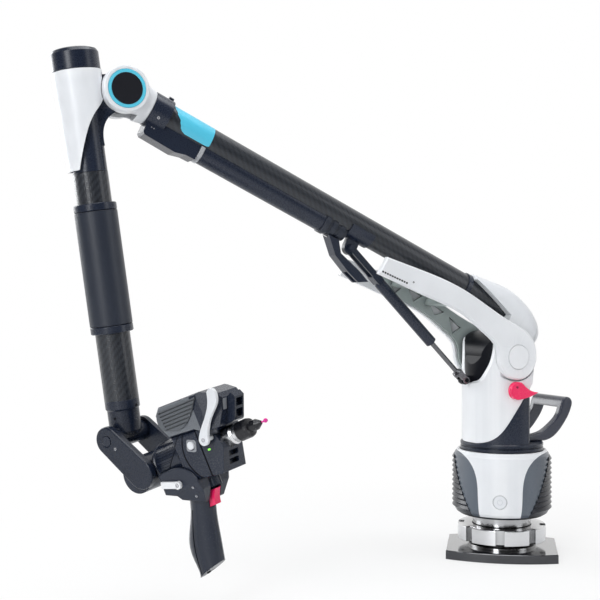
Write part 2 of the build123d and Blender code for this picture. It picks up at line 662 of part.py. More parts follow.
# Elbow-end collar with its lock peg, and the block that closes the cable channel
with BuildPart() as elbow_collar:
    spin(TUBE, (SPINDLE_CORE + RUN, NECK_END + RUN), (TUBE_RADIUS + COLLAR_WALL, NECK_END + RUN),
         (TUBE_RADIUS + COLLAR_WALL, COLLAR_END), (TUBE_RADIUS, COLLAR_END), (TUBE_RADIUS, TUBE_START),
         (SPINDLE_CORE + RUN, TUBE_START))
    with BuildSketch(TUBE.offset(COLLAR_END - 7)):
        with Locations((0, TUBE_RADIUS + COLLAR_WALL)):
            SlotOverall(8, 5, 90)
    extrude(amount=6)

with BuildPart() as collar_block:
    with BuildSketch(TUBE_SIDE):
        with BuildLine():
            Polyline((NECK_END + 3, -10), (BLOCK_END, -10), (BLOCK_END, -UNDER_DROP - UNDER_RADIUS - 0.6),
                     (100, -31.5), (86, -35.2), (NECK_END + 6, -34), (NECK_END + 3, -31), close=True)
        make_face()
    extrude(amount=BLOCK_HALF, both=True)
    with BuildSketch(TUBE.offset(NECK_END)):
        Circle(TUBE_RADIUS + COLLAR_WALL)
    extrude(amount=COLLAR_END - NECK_END, mode=Mode.SUBTRACT)
    with BuildSketch(TUBE.offset(COLLAR_END)):
        Circle(TUBE_RADIUS)
    extrude(amount=BLOCK_END, mode=Mode.SUBTRACT)

# Spring bracket: a shoe under the tube with a tab between the clevis straps, and the dock hook behind it
top_along = (SPRING_TOP - ELBOW).dot(tube_dir)
top_above = (SPRING_TOP - ELBOW).dot(tube_up)
with BuildPart() as spring_bracket:
    with BuildSketch(TUBE.offset(BOOT_END + RUN)):
        Circle(TUBE_RADIUS + 2)
        Circle(TUBE_RADIUS, mode=Mode.SUBTRACT)
        with Locations((0, TUBE_RADIUS)):
            Rectangle(3 * TUBE_RADIUS, 2 * TUBE_RADIUS + 8, mode=Mode.SUBTRACT)
    extrude(amount=36)
    with BuildSketch(TUBE_SIDE):
        with Locations((top_along, (top_above - TUBE_RADIUS) / 2 - 0.5)):
            Rectangle(18, -top_above - TUBE_RADIUS - 1)
        with Locations((top_along, top_above)):
            Circle(9)
            Circle(4.5, mode=Mode.SUBTRACT)
    extrude(amount=LUG_HALF, both=True)

with BuildPart() as dock_hook:
    with BuildSketch(TUBE_SIDE):
        with BuildLine():
            Polyline((BOOT_START + 14, -30), (BOOT_START + 30, -30), (BOOT_START + 40, -44),
                     (BOOT_START + 74, -53), (BOOT_START + 92, -60), (BOOT_START + 79, -67),
                     (BOOT_START + 62, -62), (BOOT_START + 34, -50), close=True)
        make_face()
    extrude(amount=9, both=True)
    with BuildSketch(TUBE.offset(BOOT_START)):
        with Locations((0, -UNDER_DROP)):
            Circle(UNDER_RADIUS + 1.5)
    extrude(amount=BOOT_END - BOOT_START, mode=Mode.SUBTRACT)
    with BuildSketch(TUBE_SIDE.offset(-5)):
        with Locations((BOOT_START + 85, -56)):
            Rectangle(50, 26)
    extrude(amount=10, mode=Mode.SUBTRACT)

# Bearings of the upper arm: one ring each side on the axle, two plain rings for the elbow spindle
with BuildPart() as arm_bearings:
    for side in (1, -1):
        with BuildSketch(ARM.offset(side * FORK_INNER)):
            with Locations(PIVOT):
                Circle(BEARING_RADIUS)
                Circle(AXLE_RADIUS + SLIP, mode=Mode.SUBTRACT)
        extrude(amount=side * CASTING_THICK)
    for start in (TUBE_START + 8, ELBOW_SPINDLE - 12):
        spin_tube(TUBE, TUBE_RADIUS - TUBE_WALL, SPINDLE_CORE + SLIP, start, start + 8)

# White rear cap: a rounded hood behind the tube, cut at a slant so that the tube's side stays in sight
with BuildPart() as arm_rear_cap:
    with BuildSketch(ARM):
        with BuildLine():
            top = Spline((-60, 391), (-30.8, 381), (0, 370), (24, 354), (40, 338), (49, 323), (52, 306),
                         (44, 291))
            Polyline(top @ 1, (0, 289), (-24, 320), (-60, 340), top @ 0)
        make_face()
    extrude(amount=HOOD_HALF, both=True)
    ridge = arm_rear_cap.edges().filter_by(GeomType.BSPLINE).sort_by(Axis.Y)
    fillet([ridge[0], ridge[-1]], 20)
    with BuildSketch(ARM):
        with Locations(PIVOT):
            Circle(HUB_RADIUS + 4)
    extrude(amount=2 * COVER_INNER, both=True, mode=Mode.SUBTRACT)
    with BuildSketch(TUBE_SIDE):
        with BuildLine():
            Polyline((CLIP_START - 60, 60), (CLIP_START + CLIP_WIDTH + RUN, 60),
                     (CLIP_START + CLIP_WIDTH + RUN, 12.5), (TUBE_END + 1, -9), (TUBE_END + 1, -60),
                     (CLIP_START - 60, -60), close=True)
        make_face()
    extrude(amount=2 * COVER_INNER, both=True, mode=Mode.SUBTRACT)
    with BuildSketch(TUBE.offset(BOOT_END)):
        Circle(TUBE_RADIUS + 0.2)
    extrude(amount=TUBE_END - BOOT_END, mode=Mode.SUBTRACT)

# Gas spring: the rod turns on the column's lug, and the cylinder slides along it
SPRING = Plane(origin=SPRING_FOOT, x_dir=(0, 1, 0), z_dir=spring_dir)
SPRING_SIDE = Plane(origin=SPRING_FOOT, x_dir=spring_dir, z_dir=(0, -1, 0))
CYLINDER_START = spring_length - STRAP_LENGTH - CYLINDER_LENGTH
with BuildPart() as gas_rod:
    for side in (1, -1):
        with BuildSketch(SPRING_SIDE.offset(side * (LUG_HALF + RUN))):
            Circle(5)
            with Locations((8, 0)):
                Rectangle(16, 8)
            Circle(SPRING_PIN + SLIP, mode=Mode.SUBTRACT)
        extrude(amount=side * 3)
    spin(SPRING, (0, 10), (5, 10), (LUG_HALF + 3, 12), (LUG_HALF + 3, 16), (ROD_RADIUS, 19),
         (ROD_RADIUS, CYLINDER_START + 82), (CYLINDER_RADIUS - 2, CYLINDER_START + 82),
         (CYLINDER_RADIUS - 2, CYLINDER_START + 88), (0, CYLINDER_START + 88))

with BuildPart() as gas_cylinder:
    cylinder_end = CYLINDER_START + CYLINDER_LENGTH
    spin(SPRING, (ROD_RADIUS + RUN, CYLINDER_START), (CYLINDER_RADIUS, CYLINDER_START),
         (CYLINDER_RADIUS, cylinder_end - 3), (CYLINDER_RADIUS - 2, cylinder_end), (0, cylinder_end),
         (0, cylinder_end - 4), (CYLINDER_RADIUS - 1.4, cylinder_end - 4),
         (CYLINDER_RADIUS - 1.4, CYLINDER_START + 4), (ROD_RADIUS + RUN, CYLINDER_START + 4))
    with BuildSketch(SPRING_SIDE):
        with Locations((cylinder_end + 5, 0)):
            Rectangle(14, 10)
    extrude(amount=STRAP_OUTER, both=True)
    for side in (1, -1):
        with BuildSketch(SPRING_SIDE.offset(side * STRAP_INNER)):
            with Locations((cylinder_end + STRAP_LENGTH / 2, 0)):
                Rectangle(STRAP_LENGTH, 8)
            with Locations((spring_length, 0)):
                Circle(5)
        extrude(amount=side * (STRAP_OUTER - STRAP_INNER))
        with BuildSketch(SPRING_SIDE.offset(side * STRAP_OUTER)):
            with Locations((spring_length, 0)):
                Circle(4)
        extrude(amount=side * 2)

# Elbow housing: a white fork with a round boss each side, a neck and the spindle that rolls in the tube
ELBOW_AT = (ELBOW.X, ELBOW.Z)
with BuildPart() as elbow_housing:
    with BuildSketch(ARM):
        with Locations(ELBOW_AT):
            Circle(ELBOW_RADIUS)
    extrude(amount=ELBOW_HALF, both=True)
    fillet(elbow_housing.edges().filter_by(GeomType.CIRCLE), 2)
    spin(TUBE, (0, 0), (ELBOW_HALF - 1, 0), (ELBOW_HALF - 1, 10), (TUBE_RADIUS + 3, NECK_END), (0, NECK_END))
    with BuildSketch(TUBE.offset(NECK_START)):
        Rectangle(2 * KNUCKLE_HALF + 1.2, 4 * ELBOW_RADIUS)
    extrude(amount=-4 * ELBOW_RADIUS, mode=Mode.SUBTRACT)
    with BuildSketch(ARM):
        with Locations(ELBOW_AT):
            Circle(ELBOW_PIN)
    extrude(amount=ELBOW_HALF - 4, both=True, mode=Mode.SUBTRACT)
    with BuildSketch(ARM.offset(ELBOW_HALF)):
        with Locations(ELBOW_AT):
            Circle(BADGE_RADIUS + SLIP)
    extrude(amount=-BADGE_DEPTH, mode=Mode.SUBTRACT)
    spin(TUBE, (0, NECK_START + 2), (SPINDLE_CORE, NECK_START + 2), (SPINDLE_CORE, ELBOW_SPINDLE),
         (0, ELBOW_SPINDLE))

with BuildPart() as elbow_badge:
    with BuildSketch(ARM.offset(ELBOW_HALF - BADGE_DEPTH)):
        with Locations(ELBOW_AT):
            Circle(BADGE_RADIUS)
            Circle(BADGE_DISC, mode=Mode.SUBTRACT)
    extrude(amount=BADGE_DEPTH + 0.2)
    with BuildSketch(ARM.offset(ELBOW_HALF - BADGE_DEPTH)):
        with Locations(ELBOW_AT):
            Circle(BADGE_DISC - 0.2)
    extrude(amount=BADGE_DEPTH + 0.5)

with BuildPart() as elbow_axle:
    with BuildSketch(ARM):
        with Locations(ELBOW_AT):
            Circle(ELBOW_PIN)
    extrude(amount=ELBOW_HALF - 4, both=True)

# Forearm head: the knuckle on the elbow axle, a white cone, a black cap and the inner tube
with BuildPart() as elbow_knuckle:
    with BuildSketch(FORE_SIDE):
        with Locations((0, FOREARM_OFFSET)):
            Circle(KNUCKLE_RADIUS)
        with BuildLine():
            low = Spline((KNUCKLE_RADIUS - 1, FOREARM_OFFSET - 7), (30, 27), (62, INNER_RADIUS - 2))
            Polyline(low @ 1, (62, 0), (-20, 0), (-20, FOREARM_OFFSET - 12), (0, FOREARM_OFFSET), low @ 0)
        make_face()
        with Locations((0, FOREARM_OFFSET)):
            Circle(ELBOW_PIN + SLIP, mode=Mode.SUBTRACT)
    extrude(amount=KNUCKLE_HALF, both=True)
    with BuildSketch(FOREARM.offset(CAP_BOTTOM)):
        Circle(INNER_RADIUS)
    extrude(amount=2 * CONE_FOOT, mode=Mode.SUBTRACT)

with BuildPart() as forearm_cone:
    spin(FOREARM, (CONE_TOP_RADIUS - 3, CAP_BOTTOM), (CONE_TOP_RADIUS, CAP_BOTTOM),
         (CONE_FOOT_RADIUS, CONE_FOOT), (CONE_FOOT_RADIUS - 3, CONE_FOOT))
    with BuildSketch(FORE_SIDE):
        with BuildLine():
            edge = Spline((CAP_BOTTOM - 4, 31), (-12, 27), (9, 22), (24, 9), (CONE_FOOT - 30, -8.5),
                          (CONE_FOOT + 4, -17.5))
            Polyline(edge @ 1, (CONE_FOOT + 4, -40), (CAP_BOTTOM - 4, -40), edge @ 0)
        make_face()
    extrude(amount=2 * CONE_TOP_RADIUS, both=True, mode=Mode.INTERSECT)
    with BuildSketch(ARM):
        with Locations(ELBOW_AT):
            Circle(ELBOW_RADIUS + 1.2)
    extrude(amount=2 * ELBOW_HALF, both=True, mode=Mode.SUBTRACT)
    with BuildSketch(FORE_SIDE):
        with Locations((20, FOREARM_OFFSET / 2)):
            Rectangle(84, FOREARM_OFFSET)
    extrude(amount=KNUCKLE_HALF + RUN, both=True, mode=Mode.SUBTRACT)

with BuildPart() as forearm_cap:
    spin(FOREARM, (0, CAP_TOP), (CAP_RADIUS_TOP - 6, CAP_TOP), (CAP_RADIUS_TOP - 2, CAP_TOP + 1.5),
         (CAP_RADIUS_TOP, CAP_TOP + 5), (CAP_RADIUS_TOP, CAP_BOTTOM - 1), (CAP_RADIUS_TOP - 1, CAP_BOTTOM),
         (0, CAP_BOTTOM))

with BuildPart() as forearm_inner_tube:
    spin_tube(FOREARM, INNER_RADIUS, SPIGOT_RADIUS + SLIP, CAP_BOTTOM, CONE_FOOT + 2.6)

# Forearm: a carbon tube with a spigot up into the forearm head
TUBE_TOP = CONE_FOOT + 3
with BuildPart() as forearm_tube:
    inner = FOREARM_RADIUS - TUBE_WALL
    spin(FOREARM, (0, CAP_BOTTOM + 40), (SPIGOT_RADIUS, CAP_BOTTOM + 40), (SPIGOT_RADIUS, TUBE_TOP),
         (FOREARM_RADIUS, TUBE_TOP), (FOREARM_RADIUS, FERRULE_TOP), (inner, FERRULE_TOP),
         (inner, TUBE_TOP + 6), (0, TUBE_TOP + 6))

with BuildPart() as sleeve_collars:
    for start in (SLEEVE_TOP - RUN - COLLAR_HEIGHT, SLEEVE_BOTTOM + RUN):
        spin(FOREARM, (FOREARM_RADIUS, start), (SLEEVE_RADIUS - 1, start), (SLEEVE_RADIUS, start + 1),
             (SLEEVE_RADIUS, start + COLLAR_HEIGHT - 1), (SLEEVE_RADIUS - 1, start + COLLAR_HEIGHT),
             (FOREARM_RADIUS, start + COLLAR_HEIGHT))

with BuildPart() as grip_sleeve:
    spin_tube(FOREARM, SLEEVE_RADIUS, FOREARM_RADIUS + RUN, SLEEVE_TOP, SLEEVE_BOTTOM)

with BuildPart() as wrist_knuckle:
    spin(FOREARM, (0, FERRULE_TOP), (FOREARM_RADIUS, FERRULE_TOP), (FOREARM_RADIUS, FERRULE_TOP + 10),
         (KNUCKLE_NECK, FERRULE_TOP + 12), (KNUCKLE_NECK, WRIST_REACH - 6), (8, WRIST_REACH + 6),
         (0, WRIST_REACH + 6))
    with BuildSketch(WRIST):
        Circle(CROSS_RADIUS)
    extrude(amount=YOKE_HALF - RUN, both=True)
    for side in (1, -1):
        with BuildSketch(WRIST.offset(side * (YOKE_HALF - PIN_DEPTH - RUN))):
            Circle(PIN_RADIUS + SLIP)
        extrude(amount=side * (PIN_DEPTH + 2), mode=Mode.SUBTRACT)

# Wrist yoke: two plates from the wrist axis down to the drum in which the probe head rolls
hinge_at = ((WRIST_CENTRE - DRUM_CENTRE).dot(probe_dir), (WRIST_CENTRE - DRUM_CENTRE).dot(probe_up))
with BuildPart() as wrist_yoke:
    for side in (1, -1):
        with BuildSketch(HEAD.offset(side * YOKE_HALF)):
            with Locations(hinge_at):
                Circle(YOKE_EYE)
            with Locations((YOKE_TOE - DRUM_RADIUS + 3, 0)):
                Circle(DRUM_RADIUS - 3)
            make_hull()
            with Locations(hinge_at):
                Circle(PIN_RADIUS, mode=Mode.SUBTRACT)
        extrude(amount=side * YOKE_THICK)
        fillet(wrist_yoke.faces().sort_by(Axis(HEAD.origin, HEAD.z_dir))[-1 if side > 0 else 0].edges(), 2)
    with BuildSketch(HEAD):
        Circle(DRUM_RADIUS)
    extrude(amount=YOKE_HALF, both=True)
    with BuildSketch(HEAD):
        with Locations(hinge_at):
            Circle(CROSS_RADIUS + 8)
    extrude(amount=YOKE_HALF, both=True, mode=Mode.SUBTRACT)
    with BuildSketch(PROBE.offset(-12)):
        Circle(SPIGOT + RUN)
    extrude(amount=3 * DRUM_RADIUS, mode=Mode.SUBTRACT)

with BuildPart() as wrist_pins:
    for side in (1, -1):
        with BuildSketch(HEAD.offset(side * (YOKE_HALF - PIN_DEPTH + 1))):
            with Locations(hinge_at):
                Circle(PIN_RADIUS)
        extrude(amount=side * (PIN_DEPTH - 1 + YOKE_THICK))

# Probe head: a ribbed barrel that rolls in the yoke, and the body in front of it
with BuildPart() as head_barrel:
    grooves = []
    groove_pitch = (BARREL_END - BARREL_START - 14) / BARREL_GROOVES
    for n in range(BARREL_GROOVES):
        at = BARREL_START + 5 + n * groove_pitch
        grooves += [(BARREL_RADIUS, at), (BARREL_RADIUS - 1.2, at + groove_pitch * 0.35),
                    (BARREL_RADIUS, at + groove_pitch * 0.7)]
    spin(PROBE, (0, -11), (SPIGOT, -11), (SPIGOT, BARREL_START), (BARREL_RADIUS - 3, BARREL_START), *grooves,
         (BARREL_RADIUS, BARREL_END), (0, BARREL_END))

BODY_OUTLINE = (
    (BARREL_END, 24), (104, 20.5), (122, 8), (126, -4), (126, -10), (116, -35), (84, -31), (BARREL_END, -23),
)


def taper(start, half, end, narrow):
    """Plan outline of what is left of a head piece whose sides draw in towards the front."""
    Polyline((BARREL_START, -half), (start, -half), (end, -narrow), (TIP_REACH, -narrow), (TIP_REACH, narrow),
             (end, narrow), (start, half), (BARREL_START, half), close=True)


with BuildPart() as head_body:
    with BuildSketch(HEAD):
        with BuildLine():
            Polyline(*BODY_OUTLINE, close=True)
        make_face()
    extrude(amount=HEAD_HALF, both=True)
    sides = head_body.faces().sort_by(Axis(HEAD.origin, HEAD.z_dir))
    fillet(sides[0].edges() + sides[-1].edges(), 4)
    with BuildSketch(HEAD_PLAN):
        with BuildLine():
            taper(100, HEAD_HALF, 126, 17.5)
        make_face()
    extrude(amount=2 * BARREL_END, both=True, mode=Mode.INTERSECT)
    for low, high, deep in ((-20, -14.5, 117), (-28.5, -23, 113.5)):
        with BuildSketch(PROBE.offset(deep)):
            with Locations((0, -(low + high) / 2)):
                Rectangle(17, high - low)
        extrude(amount=20, mode=Mode.SUBTRACT)
    with BuildSketch(PROBE.offset(HOLDER_START)):
        Circle(HOLDER_RADIUS + 0.2)
    extrude(amount=TIP_REACH, mode=Mode.SUBTRACT)
    for at, radius, depth in ((BUTTON_AT, HEAD_BUTTON + RUN, 6), (LEVER_AT, LEVER_PIN + RUN, LEVER_STEM + 1)):
        with BuildSketch(HEAD.offset(HEAD_HALF)):
            with Locations(at):
                Circle(radius)
        extrude(amount=-depth, mode=Mode.SUBTRACT)
    with BuildSketch(KNOB.offset(-2)):
        Circle(KNOB_STEM + RUN)
    extrude(amount=10, mode=Mode.SUBTRACT)

with BuildPart() as scanner_housing:
    with BuildSketch(HEAD):
        with BuildLine():
            Polyline((BARREL_END, 24), (104, 20.5), (122, 8), (126, 13), FACE_FOOT, FACE_MID, FACE_TOP,
                     (146, 47.5), (128, 57), (66, 60.5), (58, 53), (58, 38), close=True)
        make_face()
    extrude(amount=HEAD_HALF + 1, both=True)
    sides = scanner_housing.faces().sort_by(Axis(HEAD.origin, HEAD.z_dir))
    fillet(sides[0].edges() + sides[-1].edges(), 3.5)
    with BuildSketch(HEAD_PLAN):
        with BuildLine():
            taper(124, HEAD_HALF + 1, 152, 16)
        make_face()
    extrude(amount=2 * BARREL_END, both=True, mode=Mode.INTERSECT)
    with BuildSketch(PROBE.offset(HOLDER_START)):
        Circle(HOLDER_RADIUS + 0.2)
    extrude(amount=TIP_REACH, mode=Mode.SUBTRACT)

with BuildPart() as scanner_side_panels:
    for side in (1, -1):
        with BuildSketch(HEAD.offset(side * (HEAD_HALF + 1))):
            with BuildLine():
                rear = Spline((64, 34), (60.5, 44), (65, 55))
                Polyline(rear @ 1, (124, 53))
                front = Spline((124, 53), (114, 42), (100, 31), (84, 28))
                Line(front @ 1, rear @ 0)
            make_face()
        extrude(amount=side * 2.2)
        for n in range(PANEL_GROOVES):
            with BuildSketch(HEAD.offset(side * (HEAD_HALF + 3.2))):
                with Locations(Location((86 + 2 * n, 32.5 + 3.9 * n), -2)):
                    SlotOverall(34 + 5 * n, 1.6)
            extrude(amount=-side * 1.2, mode=Mode.SUBTRACT)

# Camera block: stands on the scanner's front above the probe, with two windows
with BuildPart() as scanner_cameras:
    with BuildSketch(HEAD):
        with BuildLine():
            Polyline(FACE_FOOT, FACE_MID, FACE_TOP, (157, 43), (160, 37), (148, 13.5), close=True)
        make_face()
    extrude(amount=CAMERA_HALF, both=True)
    for low, high, deep in ((16, 24, 146), (27, 35, 151)):
        with BuildSketch(PROBE.offset(deep)):
            with Locations((0, -(low + high) / 2)):
                Rectangle(2 * CAMERA_HALF - 5, high - low)
        extrude(amount=20, mode=Mode.SUBTRACT)

with BuildPart() as probe_holder:
    spin(PROBE, (0, HOLDER_START), (HOLDER_RADIUS, HOLDER_START), (HOLDER_RADIUS, HOLDER_END - 3),
         (HOLDER_RADIUS - 1.5, HOLDER_END), (0, HOLDER_END))

with BuildPart() as probe:
    spin(PROBE, (0, HOLDER_END), (10.2, HOLDER_END), (10.2, 141), (11, 142), (11, 155), (10, 158), (6.6, 159),
         (6, 167), (2.2, 173.5), (1, 174), (1, TIP_REACH - 1), (0, TIP_REACH - 1))
    with Locations(HEAD.from_local_coords((TIP_REACH - BALL_RADIUS, 0, 0))):
        Sphere(BALL_RADIUS)

# Pistol grip: a saddle that clasps the barrel and body from below, and a lofted handle
with BuildPart() as pistol_grip:
    for along, above, deep, wide in GRIP_SECTIONS:
        at = HEAD.from_local_coords((along, above, 0))
        with BuildSketch(Plane(origin=at, x_dir=probe_dir, z_dir=-probe_up)):
            Ellipse(deep, wide)
    loft()
    with BuildSketch(HEAD):
        with BuildLine():
            Polyline((-30, -147), (10, -136), (50, -125), (90, -114), (90, -170), (-30, -170), close=True)
        make_face()
    extrude(amount=SADDLE_HALF, both=True, mode=Mode.SUBTRACT)

with BuildPart() as saddle:
    with BuildSketch(HEAD):
        with BuildLine():
            top = Spline((SADDLE_START, -9.5), (51, -8.5), (66, -11), (77, -18), (84, -29))
            Polyline(top @ 1, (83, -42), (73, -57), (47.4, -45), (45, -39), (SADDLE_START, -33), top @ 0)
        make_face()
    extrude(amount=SADDLE_HALF, both=True)
    with BuildSketch(PROBE):
        with BuildLine():
            Polyline((-SADDLE_HALF, 0), (SADDLE_HALF, 0), (SADDLE_HALF, 33), (16.5, 58), (-16.5, 58),
                     (-SADDLE_HALF, 33), close=True)
        make_face()
    extrude(amount=TIP_REACH, mode=Mode.INTERSECT)
    with BuildSketch(PROBE):
        Circle(BARREL_RADIUS + 0.4)
    extrude(amount=BARREL_END, mode=Mode.SUBTRACT)
    with BuildSketch(HEAD):
        with BuildLine():
            Polyline(*BODY_OUTLINE, close=True)
        make_face()
    extrude(amount=HEAD_HALF + 0.1, both=True, mode=Mode.SUBTRACT)

with pistol_grip:
    add(saddle.part)
    with BuildSketch(HEAD):
        with Locations((91, -45)):
            Rectangle(40, 40)
    extrude(amount=GRIP_SLOT, both=True, mode=Mode.SUBTRACT)
    with BuildSketch(HEAD):
        with Locations((78, (TRIGGER_TOP + TRIGGER_LOW) / 2)):
            Rectangle(42, TRIGGER_TOP - TRIGGER_LOW + 2 * RUN)
    extrude(amount=5 + RUN, both=True, mode=Mode.SUBTRACT)
    with BuildSketch(HEAD.offset(SADDLE_HALF)):
        with Locations(GRIP_LEVER_AT):
            Circle(GRIP_LEVER_PIN + RUN)
    extrude(amount=-7, mode=Mode.SUBTRACT)

with BuildPart() as trigger:
    with BuildSketch(HEAD):
        with BuildLine():
            middle = (TRIGGER_TOP + TRIGGER_LOW) / 2
            face = ThreePointArc((75, TRIGGER_LOW), (77.5, middle), (83, TRIGGER_TOP))
            Polyline(face @ 1, (69, TRIGGER_TOP), (57 + TRIGGER_PULL + 1, TRIGGER_LOW), face @ 0)
        make_face()
    extrude(amount=5, both=True)

with BuildPart() as head_button:
    with BuildSketch(HEAD.offset(HEAD_HALF - 4)):
        with Locations(BUTTON_AT):
            Circle(HEAD_BUTTON)
    extrude(amount=7)
    fillet(head_button.faces().sort_by(Axis(HEAD.origin, HEAD.z_dir))[-1].edges(), 1.5)

LEVER_FACE = HEAD_HALF + 3.2 + RUN
with BuildPart() as scanner_lever:
    with BuildSketch(HEAD.offset(LEVER_FACE)):
        with Locations(LEVER_AT):
            Circle(6.5)
        with BuildLine():
            left = Spline((LEVER_AT[0] - 5, LEVER_AT[1] + 4), (120.2, 19.7), (131.7, 29.8), (139.8, 39.4),
                          (144.5, 50.2))
            tip = ThreePointArc(left @ 1, (152, 54), (156.2, 47.5))
            right = Spline(tip @ 1, (150.9, 35.5), (141, 28.1), (130.4, 17.8),
                           (LEVER_AT[0] + 6, LEVER_AT[1] - 2))
            Line(right @ 1, left @ 0)
        make_face()
    extrude(amount=4)
    fillet(scanner_lever.faces().sort_by(Axis(HEAD.origin, HEAD.z_dir))[-1].edges(), 1)
    with BuildSketch(HEAD.offset(HEAD_HALF - LEVER_STEM)):
        with Locations(LEVER_AT):
            Circle(LEVER_PIN)
    extrude(amount=LEVER_FACE - HEAD_HALF + LEVER_STEM + 1)

with BuildPart() as grip_lever:
    with BuildSketch(HEAD.offset(SADDLE_HALF + RUN)):
        with Locations(GRIP_LEVER_AT):
            Circle(4.5)
        with Locations(Location((GRIP_LEVER_AT[0] - 11, GRIP_LEVER_AT[1] + 3.4), -17)):
            Rectangle(24, 7.5)
    extrude(amount=4)
    with BuildSketch(HEAD.offset(SADDLE_HALF - 5)):
        with Locations(GRIP_LEVER_AT):
            Circle(GRIP_LEVER_PIN)
    extrude(amount=6)

with BuildPart() as grip_knob:
    with BuildSketch(KNOB.offset(-1.2)):
        Circle(KNOB_RADIUS)
        with PolarLocations(KNOB_RADIUS + 0.4, KNOB_FLUTES):
            Circle(1.2, mode=Mode.SUBTRACT)
    extrude(amount=-KNOB_HEIGHT)
    with BuildSketch(KNOB.offset(-2)):
        Circle(KNOB_STEM)
    extrude(amount=8)

PIECES = {
    "base_plate": base_plate, "mount_flange": mount_flange, "ring_nut": ring_nut, "base_core": base_core,
    "swivel_bearings": swivel_bearings, "base_front_panel": base_front_panel,
    "base_rear_panel": base_rear_panel, "base_cheeks": base_cheeks, "left_battery": left_battery,
    "right_battery": right_battery,
    "power_button": power_button, "swivel_collar": swivel_collar, "column_core": column_core,
    "column_shell": column_shell, "column_rear_cover": column_rear_cover, "carry_handle": carry_handle,
    "shoulder_axle": shoulder_axle, "lock_lever": lock_lever, "fork_near_cover": fork_near_cover,
    "fork_far_cover": fork_far_cover, "pivot_caps": pivot_caps, "fork_casting": fork_casting,
    "arm_bearings": arm_bearings, "arm_rear_cap": arm_rear_cap, "main_tube": main_tube,
    "tube_clip_ring": tube_clip_ring, "under_tube": under_tube, "under_tube_boot": under_tube_boot,
    "elbow_collar": elbow_collar, "collar_block": collar_block, "spring_bracket": spring_bracket,
    "dock_hook": dock_hook, "gas_rod": gas_rod, "gas_cylinder": gas_cylinder, "elbow_housing": elbow_housing,
    "elbow_badge": elbow_badge, "elbow_axle": elbow_axle, "elbow_knuckle": elbow_knuckle,
    "forearm_cone": forearm_cone, "forearm_cap": forearm_cap, "forearm_inner_tube": forearm_inner_tube,
    "forearm_tube": forearm_tube, "sleeve_collars": sleeve_collars, "grip_sleeve": grip_sleeve,
    "wrist_knuckle": wrist_knuckle, "wrist_yoke": wrist_yoke, "wrist_pins": wrist_pins,
    "head_barrel": head_barrel, "head_body": head_body, "scanner_housing": scanner_housing,
    "scanner_side_panels": scanner_side_panels, "scanner_cameras": scanner_cameras,
    "probe_holder": probe_holder, "probe": probe, "pistol_grip": pistol_grip,
    "trigger": trigger, "head_button": head_button, "scanner_lever": scanner_lever,
    "grip_lever": grip_lever, "grip_knob": grip_knob,
}
for name, piece in PIECES.items():
    piece.part.label = name
    export_step(piece.part, f"parts/{name}.step")
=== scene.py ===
import json
from math import copysign, cos, pi, radians, sin

